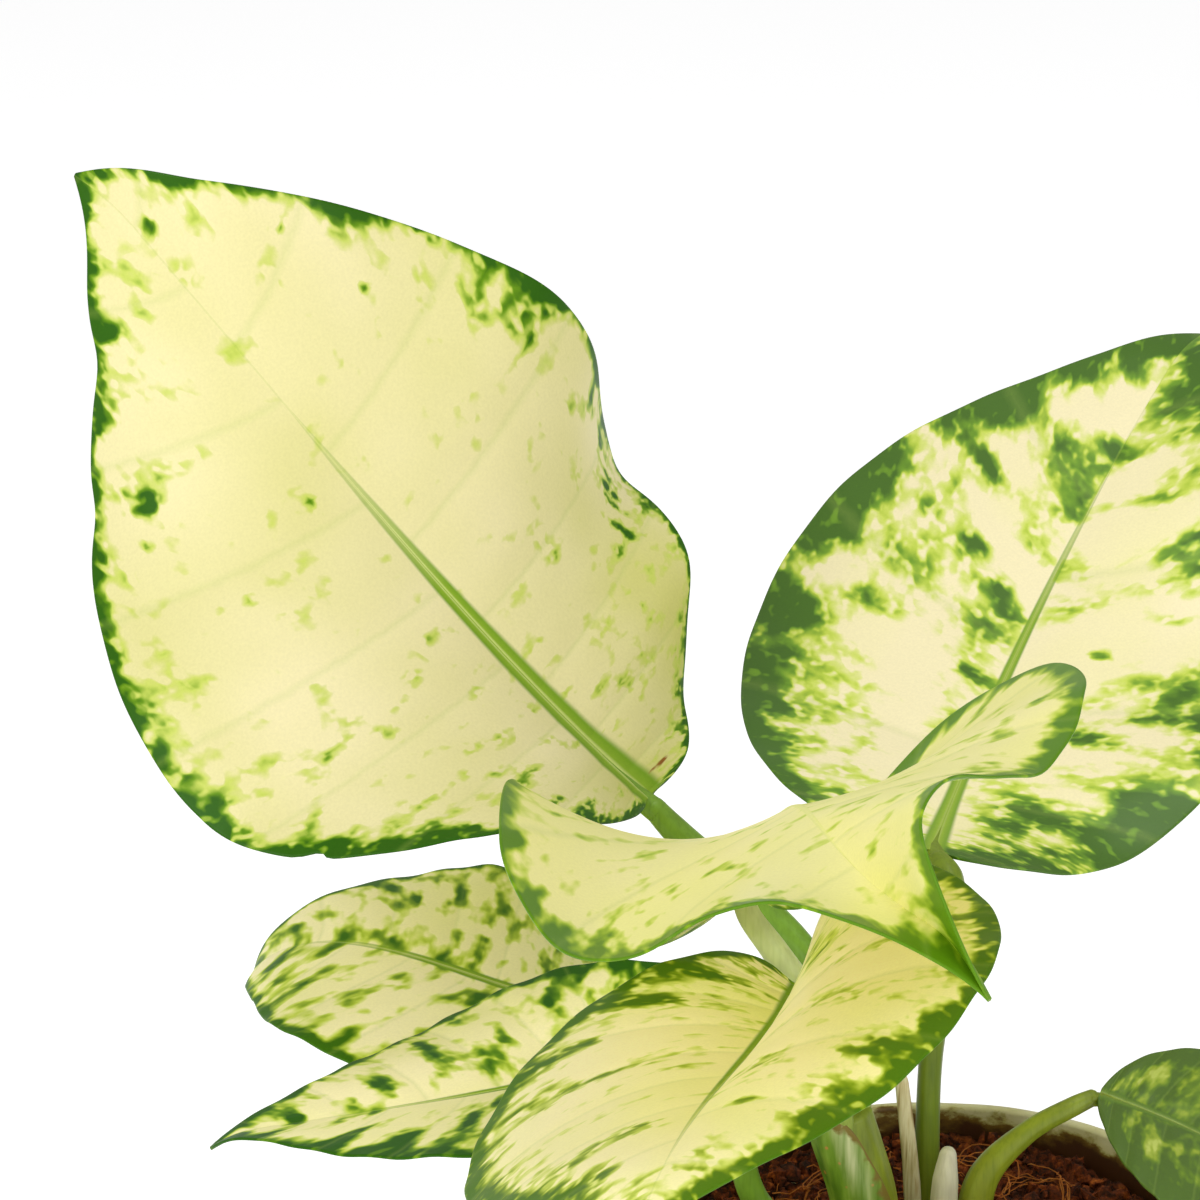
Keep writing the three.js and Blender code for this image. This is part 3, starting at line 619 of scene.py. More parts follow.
near_rib = [0, 0.006, 0.012, 0.019, 0.027, 0.037, 0.05, 0.066, 0.085]
between = list(np.linspace(0.105, 0.955, 42))
near_edge = [0.968, 0.979, 0.988, 0.994, 0.9975, 1]
COLUMNS = near_rib + between + near_edge
THIN = 0.6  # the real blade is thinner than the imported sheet, with a rounded edge


def blade(key, leaf, skin, margin, marks, skirt, lean=0.0, veins=9, rows=168, nicks=()):
    """One leaf: its upper and lower faces with relief of ribs and veins, and the fields its skin reads.

    Margin is the width of the green border along each half, skirt how much more often spots come near the
    edge and how far in, and a mark is (u, s, length along the vein, width across it, strength).
    A nick is (u, side, depth, width as a share of u). Widths, lengths and depths are in millimetres.
    """
    spine = spine_of(leaf)
    side = np.array([-c for c in COLUMNS[:0:-1]] + COLUMNS)
    u = np.linspace(0, 1, rows + 1)[:, None] + 0 * side[None, :]
    s = side[None, :] + 0 * u
    middle = blade_points(leaf, spine, u, s)
    near, small = np.clip(u, 0.04, 0.97), 1e-3
    here = blade_points(leaf, spine, near, s)
    across = blade_points(leaf, spine, near, np.minimum(s + small, 1))
    across = across - blade_points(leaf, spine, near, np.maximum(s - small, -1))
    along = blade_points(leaf, spine, near + small, s) - here
    normal = np.cross(along, across)
    normal /= np.linalg.norm(normal, axis=-1, keepdims=True)
    inner = blade_points(leaf, spine, u, s * 0.97) - middle
    inner /= np.maximum(np.linalg.norm(inner, axis=-1, keepdims=True), 1e-6)
    for place, hand, depth, width in nicks:
        pull = depth * np.exp(-(((u - place) / width) ** 2)) * (np.sign(s) == hand) * np.abs(s) ** 7
        middle = middle + inner * pull[..., None]
    # distances over the surface from the midrib and to the edge
    step = np.linalg.norm(np.diff(middle, axis=1), axis=-1)
    total = np.concatenate([np.zeros((rows + 1, 1)), np.cumsum(step, 1)], 1)
    centre = len(COLUMNS) - 1
    from_rib = total - total[:, centre : centre + 1]
    to_edge = np.where(s >= 0, total[:, -1:] - total, total)
    # relief: blade puffed up a little between the side veins, and a midrib with a groove above
    phase = u * veins + np.where(s >= 0, 0.0, 0.5)
    ridge = (0.5 + 0.5 * np.cos(2 * math.pi * phase)) ** 3
    inward = np.clip(np.abs(s) / 0.2, 0, 1) * np.clip((1 - np.abs(s)) / 0.25, 0, 1)
    puff = 0.35 * (1 - ridge) * inward * np.sin(math.pi * np.clip(u, 0.02, 1)) ** 0.5
    fade = 1 - 0.8 * u
    rib_y = np.abs(from_rib)
    off = np.clip(rib_y / (3.2 * fade), 0, 1)
    rib_low = 2.2 * leaf["rib"] * fade**1.5 * (1 - off * off)
    raised = 0.5 * (1 - u) ** 1.5
    rib_high = raised * np.exp(-((rib_y / (1.7 * fade)) ** 2))
    rib_high = rib_high - 0.5 * raised * np.exp(-((rib_y / 0.35) ** 2))
    flutter = 0.25 * np.sin(23 * u * math.pi + 1.7 * np.sign(s)) * np.abs(s) ** 6 * np.sin(math.pi * u)
    thick = 0.5 * THIN * np.sqrt(np.clip(1 - np.clip(1 - to_edge / 0.45, 0, 1) ** 2, 0.02, 1))
    base = middle + normal * (puff + flutter)[..., None]
    upper = base + normal * (thick + rib_high)[..., None]
    lower = base - normal * (thick + rib_low)[..., None]
    points = np.concatenate([upper.reshape(-1, 3), lower.reshape(-1, 3)])
    # green: the border, and each mark
    left_width = np.interp(u, *zip(*margin[0]))
    right_width = np.interp(u, *zip(*margin[1]))
    width = np.where(s >= 0, left_width, right_width)
    deep = to_edge / width
    green = np.where(deep < 1, 0.9 - 0.45 * deep, 0.45 * np.exp(-(deep - 1) / 0.4))
    green = green + skirt[0] * np.exp(-((to_edge / skirt[1]) ** 2)) + lean * (0.5 - u)
    colours = {"green": green, "lime": 0 * u, "brown": 0 * u}
    for kind, mu, ms, long, broad, strength in [(kind, *mark) for kind in marks for mark in marks[kind]]:
        at = [np.array([[v]]) for v in (mu, ms)]
        spot = blade_points(leaf, spine, *at)[0, 0]
        ahead, behind = (blade_points(leaf, spine, at[0], at[1] + step)[0, 0] for step in (0.01, -0.01))
        way = ahead - behind
        way /= np.linalg.norm(way)
        cross = blade_points(leaf, spine, at[0] + 0.01, at[1])[0, 0] - spot
        cross -= way * cross.dot(way)
        cross /= np.linalg.norm(cross)
        away = middle - spot
        field = np.exp(-((away @ way) / long) ** 2 * 2 - ((away @ cross) / broad) ** 2 * 2)
        colours[kind] = colours[kind] + strength * field
    obj = mesh_piece(f"leaf_{key}", points, sheet_faces(rows, len(side)), skin, [f"blade_{key}"])
    carries = {
        "leaf_mm": [u * leaf["length"], from_rib, to_edge],
        "fields": [colours["green"], colours["lime"], colours["brown"]],
        "halves": [u, s, u**ROW_SPREAD],
    }
    for label, numbers in carries.items():
        values = np.stack(numbers, -1).reshape(-1, 3)
        put_attribute(obj, label, np.concatenate([values, values]))
    # the stalk runs on through the blade's foot and sinks into it as the midrib
    stations, stalk_material = STALKS[key]
    ups = normal[:, centre]
    neck = [tuple(0.35 * a + 0.65 * b for a, b in zip(stations[-2], stations[-1]))]
    for place in (0.1, 0.2, 0.28, 0.36, 0.42):
        row = int(np.abs(u[:, centre] - place).argmin())
        radius = stations[-1][3] * (1.06 - place * 1.5)
        neck.append((*(middle[row, centre] - ups[row] * radius * (0.35 + 1.3 * place)), radius))
    run_piece(
        f"leaf_neck_{key}", neck, stalk_material, [],
        depth=0.9, sides=20, steps=48, ribs=0.02, tone=1,
    )
    return obj


def leaf_skin(
    name, seed, level, cream="#F5EAB4", lime="#E9E98A", yellow=0.3, green="#648F0C", dark="#2B5C02",
    halo="#C0D342", blotch=9.0, stretch=2.8, amount=2.2, rag=0.9, drawn=2.2, cells=0.0, soft=0.1, veins=9,
    vein_pull=0.0, rib_width=2.4, rib_fade=0.8, rib_colour="#8DAA2C", rib_edge="#6F961E",
    rib_core="#C2CE78", gloss=0.2,
):
    """Variegated leaf skin: satin wax over cells, whose green comes and goes in ragged steps.

    Blotch is the blotches' width in millimetres and stretch their length in widths; level and amount say
    how much of the blade is green, yellow how far its cream turns to lime, and rag how torn the blotches'
    borders are. Cells is how deep the small paler cells go into the green, soft how far the lime spreads
    round it, and drawn how far the small shapes are drawn out along the veins.
    """
    skin, tree, shader = new_material(name, Roughness=0.4, IOR=1.45, Specular_IOR_Level=gloss)
    mm, field, half = (carried(tree, label) for label in ("leaf_mm", "fields", "halves"))
    # Blotches stretched along the side veins, on the two axes across and along them
    flat = add(tree, "CombineXYZ", {"X": mm.outputs["X"], "Y": mm.outputs["Y"]})
    across = (1 / blotch, 1 / (blotch * stretch), 1)
    big = drawn_noise(tree, flat, across, (seed, seed * 2, seed), Detail=1.5, Roughness=0.5)
    # Lobed borders, in clusters of cells two to four millimetres across
    across = (0.45, 0.45 / drawn, 1)
    torn = drawn_noise(tree, flat, across, (seed * 5, seed, 0), Detail=1.3, Roughness=0.5)
    part_big = calc(tree, "MULTIPLY_ADD", big, amount, level - 0.5 * amount)
    part_torn = calc(tree, "MULTIPLY_ADD", torn, rag, -0.5 * rag)
    noise = calc(tree, "ADD", part_big, part_torn)
    # Side veins lie on rows of equal u, staggered on the two halves, and the green keeps near them
    wander = calc(tree, "MULTIPLY", torn, 0.05)
    numbered = calc(tree, "MULTIPLY_ADD", half.outputs["X"], float(veins), wander)
    right = calc(tree, "LESS_THAN", half.outputs["Y"], 0.0)
    shifted = calc(tree, "MULTIPLY_ADD", right, 0.5, numbered)
    saw = calc(tree, "PINGPONG", shifted, 0.5)
    pull = add(tree, "MapRange", (saw, 0.0, 0.5, vein_pull, -vein_pull))
    pulled = calc(tree, "ADD", noise, pull)
    total = calc(tree, "ADD", pulled, field.outputs["X"])
    # Paler cells two or three millimetres across break up the solid green
    spots = drawn_noise(tree, flat, (0.42, 0.48 / drawn, 1), (seed * 7, seed * 3, 0), Detail=1)
    holes = ease(tree, spots, 0.46, 0.74, 0.0, -cells)
    capped = calc(tree, "MINIMUM", total, 1.0)
    total = calc(tree, "ADD", capped, holes)
    # Cream turns to lime in wide soft clouds and round the green
    clouds = drawn_noise(tree, flat, (0.028, 0.02, 1), (seed * 3, 0, 0), Detail=2)
    cloud = calc(tree, "MULTIPLY_ADD", clouds, 1.6, yellow - 0.8)
    cloud = calc(tree, "ADD", cloud, field.outputs["Y"])
    near = add(tree, "MapRange", (total, 0.05, 0.35, 0, 0.6))
    warm = calc(tree, "ADD", cloud, near, use_clamp=True)
    ground = mix(tree, warm, cream, lime)
    halo_part = ease(tree, total, 0.14 - soft, 0.46)
    ringed = mix(tree, halo_part, ground, halo)
    mid_part = ease(tree, total, 0.32, 0.62)
    mid = mix(tree, mid_part, ringed, green)
    dark_part = ease(tree, total, 0.52, 0.86)
    deep = mix(tree, dark_part, mid, dark)
    # The veins themselves show as thin greener lines
    line = add(tree, "MapRange", (saw, 0.0, 0.05, 0.16, 0))
    veined = mix(tree, line, deep, "#9DB551")
    # Midrib: a green band with a paler line along its middle, narrowing and fading to the tip
    rib_y = calc(tree, "ABSOLUTE", mm.outputs["Y"])
    taper = add(tree, "MapRange", (half.outputs["Z"], 0.0, rib_fade, rib_width, 0.2))
    foot = ease(tree, half.outputs["Z"], 0.0, 0.12, rib_width * 0.3, 0.0)
    wide = calc(tree, "ADD", taper, foot)
    share = calc(tree, "DIVIDE", rib_y, wide)
    band = ease(tree, share, 0.7, 1.15, 1, 0)
    weaken = add(tree, "MapRange", (half.outputs["Z"], rib_fade * 0.55, rib_fade, 1, 0.15))
    band = calc(tree, "MULTIPLY", band, weaken)
    core = add(
        tree, "ValToRGB", {"Fac": share},
        stops=[(0.0, rib_colour), (0.12, rib_core), (0.3, rib_colour), (0.85, rib_edge)],
    )
    ribbed = mix(tree, band, veined, core)
    # Brown where the edge has dried or cracked
    worn = calc(tree, "MULTIPLY_ADD", torn, 0.8, field.outputs["Z"])
    worn = add(tree, "MapRange", (worn, 0.85, 1.05))
    final = mix(tree, worn, ribbed, "#8A5A22")
    # Fine mottling of the cells, a quarter of a millimetre and up
    place = add(tree, "TexCoord").outputs["Object"]
    grit = add(tree, "TexNoise", {"Vector": place, "Scale": 1800, "Detail": 2})
    value = add(tree, "MapRange", (grit, 0.3, 0.7, 0.97, 1.03))
    toned = add(tree, "HueSaturation", {"Color": final, "Value": value})
    # Low relief of the veins and cells
    fold = add(tree, "MapRange", (saw, 0.0, 0.1))
    relief = calc(tree, "MULTIPLY_ADD", grit, 0.12, fold)
    bump = add(tree, "Bump", {"Height": relief, "Strength": 0.25, "Distance": 0.0003})
    dress(tree, shader, toned, bump)
    return skin


# Tallest leaf, upper left, its face to the viewer: cream with a thin dark border
LEAF_A = dict(
    base=(-56.9, 25.7, 173), length=171, half_widths=(70.5, 69.1), neck=2.6, rib=1, widest=0.34, lobe=3.4,
    taper=0.36, full=0.42, heading=(164, 176, 143), pitch=(40, 57, 38), roll=(-4, -50, -82), tip_bend=-16,
    rise=((18, -2, 3), (26, 4, 2)), curl=((-23, -47, -62), (-46, -42, -23)),
    wave=((4.2, 2.81, 203), (7.5, 3.27, 72)),
)
# Its own cream and lime, painted darker than on the other leaves as painted shade, to hold down the key light
# that falls full on its face and tip
skin_a = leaf_skin(
    "cream_leaf_skin_a", seed=1.7, level=-0.18, blotch=5, stretch=1.8, rib_width=4.4, rib_fade=0.62,
    yellow=0.22, rib_colour="#86A62C", cream="#E6DCAA", lime="#CBC878", halo="#BECC58", soft=0.16,
    cells=0.5, gloss=0.15, rag=0.75, drawn=1.6,
)
marks_a = {
    "green": [
        (0.74, 0.71, 5, 4, 1.1), (0.71, 0.76, 4, 3, 0.9), (0.69, 0.17, 2.8, 2.6, 1.05),
        (0.64, 0.52, 2.6, 2, 0.9), (0.64, 0.61, 2, 2, 0.8), (0.77, -0.66, 2.4, 2, 0.95),
        (0.63, -0.77, 9, 2.2, 0.75), (0.76, 0.57, 7, 2.4, 0.75), (0.84, -0.8, 6, 2, 0.8),
        (0.93, -0.22, 4, 3, 0.75), (0.64, -0.93, 15, 6, 0.62), (0.6, 0.92, 13, 7, 0.6),
        (0.87, 0.8, 7, 4, 0.6), (0.69, -0.92, 12, 3, 0.6), (0.28, -0.37, 9, 2, 0.5),
        (0.4, -0.63, 10, 2.2, 0.5), (0.42, 0.9, 9, 5, 0.55), (0.33, 0.9, 9, 5, 0.5),
        (0.3, 0.5, 14, 1.8, 0.58), (0.36, 0.7, 14, 1.8, 0.6), (0.24, 0.7, 12, 1.6, 0.58),
        (0.2, 0.5, 10, 1.5, 0.55), (0.51, 0.83, 10, 4, 0.55), (0.48, 0.65, 8, 2, 0.55),
    ],
    "lime": [
        (0.85, 0.0, 50, 50, 0.1), (0.3, -0.85, 26, 60, 0.6), (0.12, 0.4, 50, 26, 0.3),
        (0.1, -0.3, 30, 20, 0.3), (0.5, 0.9, 16, 80, 0.4),
    ],
    "brown": [(0.64, 0.8, 1.6, 0.8, 0.5), (0.54, 0.95, 4, 2, 0.4), (0.11, -0.4, 7, 0.9, 0.8)],
}
# Small bites and dents in its left edge
nicks_a = [
    (0.85, 1, 2, 0.025), (0.745, 1, 1.2, 0.02), (0.39, 1, 2.2, 0.008), (0.3, 1, 1.6, 0.02),
    (0.22, 1, 1.2, 0.015),
]
# Painted shade: green marks along the fold that runs inside the right edge stand in for the shade in its
# crease, darker near the edge and fainter where it turns in
fold_crease_shade = ((0.5, -0.9), (0.48, -0.85), (0.46, -0.81), (0.44, -0.78), (0.42, -0.72))
fold_crease_faint_shade = ((0.39, -0.66), (0.35, -0.56), (0.31, -0.45), (0.26, -0.36))
marks_a["green"] += [(place, off, 1.7, 7, 0.9) for place, off in fold_crease_shade]
marks_a["green"] += [(place, off, 3, 10, 0.42) for place, off in fold_crease_faint_shade]
blade(
    "a", LEAF_A, skin_a,
    [[(0, 5), (0.45, 4), (0.7, 3), (1, 2.5)], [(0, 4), (0.3, 1.5), (0.5, 3), (0.75, 2), (1, 2)]],
    marks_a, skirt=(0.36, 13), lean=0.2,
    nicks=nicks_a,
)

# Broad leaf, right and back: a wide dark border and big blotches along the veins
LEAF_B = dict(
    base=(0.3, 24.1, 162.1), length=174, half_widths=(57.2, 55.4), neck=2.6, rib=1, widest=0.4, lobe=5.2,
    taper=0.35, full=0.58, heading=(75, 61, 57), pitch=(12, 36, 27), roll=(8, 5, 14), tip_bend=-23,
    rise=((9, 7, 8), (5, 6, 5)), curl=((-24, -16, -6), (-21, -12, -6)),
    wave=((1.6, 2.2, 307), (4, 2.63, 68)),
)
skin_b = leaf_skin(
    "cream_leaf_skin_b", seed=4.1, level=0.1, blotch=9, stretch=2.2, yellow=0.05, amount=2.6, veins=5,
    cells=0.4, rag=0.55, drawn=1.8, soft=0.14, rib_core="#A3B552", cream="#EFE4B6", vein_pull=0.28,
    gloss=0.5, green="#6E9A1C", dark="#42690E", rib_width=2.2,
)
marks_b = {
    "green": [
        (0.54, 0.61, 15, 4, 0.72), (0.63, 0.84, 9, 6, 0.72), (0.66, 0.67, 7, 5, 0.62),
        (0.67, 0.4, 7, 4, 0.82), (0.65, 0.18, 6, 3, 0.72), (0.74, 0.61, 14, 4, 0.72),
        (0.85, 0.09, 6, 4, 0.72), (0.78, -0.39, 10, 3, 0.62), (0.58, -0.32, 5, 2.6, 1.02),
        (0.44, -0.38, 10, 4, 0.62), (0.48, -0.59, 12, 4, 0.72), (0.53, -0.68, 8, 5, 0.52),
        (0.5, 0.8, 8, 6, 0.52), (0.45, 0.81, 6, 5, 0.42), (0.53, 0.13, 5, 2.5, 0.62),
        (0.62, -0.57, 8, 3, 0.52), (0.31, 0.75, 13, 9, 0.5), (0.23, -0.34, 12, 4, 0.52),
        (0.33, 0.2, 14, 8, -0.5), (0.42, 0.35, 14, 6, -0.5), (0.7, -0.2, 12, 6, -0.4),
    ],
}
blade(
    "b", LEAF_B, skin_b,
    [[(0, 6), (0.35, 4), (0.5, 8), (0.8, 8), (1, 5)], [(0, 9), (0.3, 9), (0.55, 8), (1, 5)]],
    marks_b, skirt=(0.25, 20), veins=5,
)

# Middle leaf that arches forward with its tip folded: a lime young leaf with a thin border
LEAF_C = dict(
    base=(-38.6, -2, 164.8), length=179, half_widths=(50, 59), neck=2.6, rib=0.9, widest=0.58, lobe=19,
    taper=0.25, full=0.78, heading=(-71, -108, -52), pitch=(52, -4, 3), roll=(-21, -24, 29), tip_bend=-47,
    rise=((-1, 17, 111), (-58, -55, 33)), curl=((158, -37, -150), (120, -5, 42)),
    wave=((10.2, 2.18, 94), (11.4, 2.5, 48)),
)
skin_c = leaf_skin(
    "lime_leaf_skin", seed=7.3, level=-0.14, blotch=4, cream="#F8EFAC", lime="#EDEC86", yellow=0.45,
    green="#8CAE14", dark="#588409", rib_width=1.2, rib_colour="#EAEA8C", rib_edge="#E8E98A",
    rib_core="#ECEB92",
)
marks_c = {
    "green": [
        (0.51, -0.94, 5, 3, 0.65), (0.56, -0.92, 6, 3, 0.7), (0.6, -0.9, 6, 4, 0.7),
        (0.64, -0.86, 6, 4, 0.6), (0.69, -0.4, 3, 2.5, 0.75), (0.82, -0.93, 9, 4, 0.6),
        (0.47, -0.81, 4, 2, 0.55), (0.54, -0.68, 5, 2, 0.5), (0.65, -0.71, 4, 2, 0.55),
        (0.52, 0.75, 5, 4, 0.65), (0.5, 0.85, 5, 4, 0.7), (0.56, 0.73, 5, 3, 0.6),
        (0.6, 0.62, 5, 3, 0.65), (0.69, 0.61, 4, 3, 0.7), (0.84, 0.23, 6, 2, 0.55),
    ],
    # Painted sheen: lime is taken away over the lobe of the left half, so that it shows paler as under a
    # grazing reflection
    "lime": [(0.52, 0.8, 26, 18, -0.5)],
    "brown": [(0.77, 0.0, 1.6, 1, 0.5)],
}
blade(
    "c", LEAF_C, skin_c,
    [[(0, 4), (0.5, 4), (0.7, 6), (1, 4)], [(0, 4), (0.5, 4), (0.7, 8), (0.95, 7), (1, 4)]], marks_c,
    skirt=(0.3, 11),
)

# Left leaf at the back
LEAF_D = dict(
    base=(-61.4, 33.9, 122.7), length=96, half_widths=(37.3, 41), neck=2.6, rib=0.8, widest=0.4, lobe=9.7,
    taper=0.36, full=0.54, heading=(179, 148, 143), pitch=(6, 36, -59), roll=(-3, -6, -25), tip_bend=-42,
    rise=((3, 3, -1), (5, 5, 6)), curl=((-27, -16, -6), (-18, -18, -16)),
    wave=((2.4, 2.28, 311), (3, 2.37, 21)),
)
# Painted light: its cream is painted nearly white, brighter than on the leaves above, to lift it out of their
# shade
skin_d = leaf_skin(
    "cream_leaf_skin_d", seed=9.9, level=0.16, blotch=4.4, stretch=2.4, rib_width=2.4, amount=2.6,
    green="#7C9C20", dark="#3C6A08", cells=0.35, gloss=0.1, cream="#FCF1C2", lime="#EEEE90",
)
marks_d = {
    "green": [
        (0.87, -0.41, 8, 3, 0.65), (0.79, 0.15, 9, 3, 0.65), (0.74, 0.68, 8, 3, 0.65),
        (0.68, -0.6, 7, 2.5, 0.65), (0.61, -0.72, 9, 2.5, 0.65), (0.61, -0.04, 7, 2.5, 0.75),
        (0.55, -0.22, 12, 2, 0.75), (0.73, -0.85, 6, 2.5, 0.65), (0.56, 0.86, 6, 3, 0.55),
        (0.87, 0.37, 6, 2.5, 0.65),
    ],
}
blade(
    "d", LEAF_D, skin_d, [[(0, 2), (1, 2)], [(0, 1.5), (1, 1.5)]], marks_d, skirt=(0.1, 8),
    rows=110,
)

# Left leaf in front of it, long and narrow
LEAF_E = dict(
    base=(-46.7, -13.9, 136.7), length=98, half_widths=(37.4, 39.5), neck=2.6, rib=0.8, widest=0.39,
    lobe=10.7, taper=0.35, full=0.56, heading=(195, 184, 176), pitch=(-11, -6, -11), roll=(-8, 3, 5),
    tip_bend=-23, rise=((14, 10, 7), (16, 9, 6)), curl=((-17, -12, -7), (-13, -17, -17)),
    wave=((1, 2.41, 339), (0.6, 2.44, 86)),
)
# Painted light: its cream is painted nearly white, brighter than on the leaves above, to lift it out of their
# shade
skin_e = leaf_skin(
    "cream_leaf_skin_e", seed=12.2, level=0.08, blotch=4.4, stretch=3, rib_width=2.2, amount=2.6,
    cells=0.35, gloss=0.1, cream="#FBF0BC",
)
marks_e = {
    "green": [
        (0.66, -0.56, 12, 3, 0.7), (0.76, -0.4, 10, 3, 0.65), (0.77, 0.73, 8, 3, 0.65),
        (0.89, -0.17, 6, 2.5, 0.65), (0.61, 0.62, 10, 3, 0.65), (0.42, -0.68, 12, 4, 0.75),
        (0.31, -0.8, 8, 4, 0.65), (0.55, -0.48, 10, 3, 0.7), (0.68, 0.79, 8, 3, 0.65),
    ],
}
blade(
    "e", LEAF_E, skin_e, [[(0, 3), (1, 3.5)], [(0, 3), (1, 2)]], marks_e, skirt=(0.15, 10),
    rows=110,
)

# Front leaf, heart-shaped at its base, with streaks along its veins
LEAF_F = dict(
    base=(-27.2, -21.6, 151.4), length=149, half_widths=(57.5, 51.6), neck=2.6, rib=0.9, widest=0.43,
    lobe=14.5, taper=0.34, full=0.53, heading=(-106, -103, -100), pitch=(0, 23, -5), roll=(28, 20, 18),
    tip_bend=-2, rise=((55, 15, -5), (46, 10, -9)), curl=((-54, -30, -4), (-45, -36, -22)),
    wave=((2.9, 2.1, 28), (1.1, 2.55, 90)),
)
# Painted light: its cream is painted nearly white, brighter than on the leaves above, to lift it out of the
# shade that leaves A and C cast on it
skin_f = leaf_skin(
    "cream_leaf_skin_f", seed=15.4, level=-0.06, blotch=5, stretch=3.4, yellow=0.2, rib_width=2.6,
    amount=2.2, green="#86A01A", dark="#4C7410", halo="#CBD85A", cream="#FFF4C4", lime="#EEF08E",
    cells=0.6, gloss=0.1,
)
marks_f = {
    "green": [
        (0.4, -0.8, 12, 3, 0.68), (0.5, -0.52, 14, 2.5, 0.68), (0.3, -0.67, 12, 4, 0.58),
        (0.21, -0.67, 8, 4, 0.58), (0.48, -0.76, 10, 3, 0.58), (0.75, -0.32, 10, 2, 0.48),
        (0.87, 0.27, 8, 3, 0.58), (0.8, 0.78, 9, 5, 0.63), (0.7, 0.83, 9, 5, 0.63),
        (0.64, 0.93, 8, 5, 0.58), (0.5, 0.93, 6, 4, 0.48), (0.59, 0.56, 8, 3, 0.58),
        (0.77, 0.33, 6, 3, 0.53), (0.41, 0.38, 6, 2, 0.58), (0.61, -0.8, 12, 3, 0.58),
        (0.84, -0.65, 8, 3, 0.58), (0.3, -0.85, 40, 10, 0.25),
    ],
    "lime": [(0.25, -0.6, 30, 14, 0.35), (0.45, 0.5, 24, 16, -0.3)],
}
blade(
    "f", LEAF_F, skin_f, [[(0, 4), (1, 3.5)], [(0, 4), (1, 3.4)]], marks_f,
    skirt=(0.42, 16),
)

# Smallest leaf, low on the right: dark green with a few lime patches
LEAF_G = dict(
    base=(33.1, 1.8, 119.1), length=81, half_widths=(29.3, 25.7), neck=1.8, rib=0.6, widest=0.39,
    lobe=-0.9, taper=0.35, full=0.55, heading=(-17, -32, -43), pitch=(-12, -22, -30), roll=(14, 11, 5),
    tip_bend=0, rise=((12, 8, 4), (10, 6, 4)), curl=((-8, -10, -11), (-18, -16, -12)),
    wave=((0.8, 2.48, 340), (1, 2.51, 92)),
)
skin_g = leaf_skin(
    "green_leaf_skin", seed=18.8, level=0.84, blotch=4.5, green="#688818", dark="#4F6C1C",
    cream="#C6D26A", lime="#A9B93C", halo="#8FA626", rib_width=1.6, gloss=0.5, cells=0.25, drawn=1.5,
    rib_colour="#6F8A2A", rib_edge="#587A22", rib_core="#8EA23E",
)
marks_g = {
    "green": [
        (0.18, 0.42, 10, 4, -0.5), (0.27, 0.51, 8, 4, -0.5), (0.38, 0.24, 8, 4, -0.3),
        (0.35, -0.4, 8, 5, -0.5), (0.35, 0.49, 5, 3, -0.4), (0.6, -0.3, 8, 4, -0.4),
    ],
}
blade(
    "g", LEAF_G, skin_g, [[(0, 5), (1, 5)], [(0, 5), (1, 5)]], marks_g, skirt=(0.1, 14),
    rows=100,
)


# Soil
# Coarse potting mix of coconut coir and bark, loosely filled and heaped at the back: reddish brown lumps
# with loose crumbs and springy coir fibres lying on them.
def lump(x, y):
    """Height of the soil over its level: lumps, and heaps at the back and by the right rim."""
    low = 0.5 * np.sin(0.31 * x + 1.3) * np.cos(0.27 * y) + 0.35 * np.sin(0.53 * x - 0.44 * y)
    fine = 0.5 * np.sin(1.3 * x + 0.7 * y) * np.sin(1.1 * y - 0.5 * x)
    fine = fine + 0.3 * np.sin(2.7 * x + 1) * np.sin(2.3 * y)
    heap = 3.2 * np.clip((y - 12) / 34, 0, 1) ** 1.5
    heap = heap + 1.5 * np.exp(-(((x - 34) / 10) ** 2) - ((y - 12) / 14) ** 2)
    return 1.4 * (low + 0.3 * np.cos(0.21 * x + 0.71 * y + 0.8)) + 2.2 * fine + heap


SOIL_EDGE = BAND - 1 - WALL - 0.3
soil_profile = [
    (0.01, POT_FLOOR + 0.3), (FOOT - WALL - 0.3, POT_FLOOR + 0.3),
    (SHOULDER - WALL - 0.3, SHOULDER_HEIGHT + 0.9), (SOIL_EDGE, SHOULDER_HEIGHT + 2.5),
]
soil_profile += [(SOIL_EDGE * (1 - i / 80), SOIL_LEVEL) for i in range(80)] + [(0.01, SOIL_LEVEL)]
SOIL_SECTORS = 220
turn = np.linspace(0, 2 * math.pi, SOIL_SECTORS, endpoint=False)
rings = []
for radius, height in soil_profile:
    x, y = radius * np.cos(turn), radius * np.sin(turn)
    z = height + (lump(x, y) if height >= SOIL_LEVEL else 0 * x)
    rings.append(np.stack([x, y, z], 1))
soil_faces = ring_faces(len(soil_profile), SOIL_SECTORS)
last = (len(soil_profile) - 1) * SOIL_SECTORS
soil_faces += [tuple(range(SOIL_SECTORS))[::-1], tuple(last + j for j in range(SOIL_SECTORS))]


def earth(name, darkest, dark, middle, light, lightest, scale, depth):
    """Coir or bark: matt and fibrous, from nearly black to orange brown in grains up to millimetres."""
    grains, tree, shader = new_material(name, Roughness=0.92, IOR=1.35)
    place = add(tree, "TexCoord").outputs["Object"]
    crumbs = add(
        tree, "TexNoise",
        {"Vector": place, "Scale": scale, "Detail": 6, "Roughness": 0.72},
    )
    tone = add(
        tree, "ValToRGB", {"Fac": crumbs},
        stops=[(0.3, darkest), (0.43, dark), (0.54, middle), (0.66, light), (0.8, lightest)],
    )
    bump = add(tree, "Bump", {"Height": crumbs, "Strength": 0.9, "Distance": depth})
    dress(tree, shader, tone, bump)
    return grains


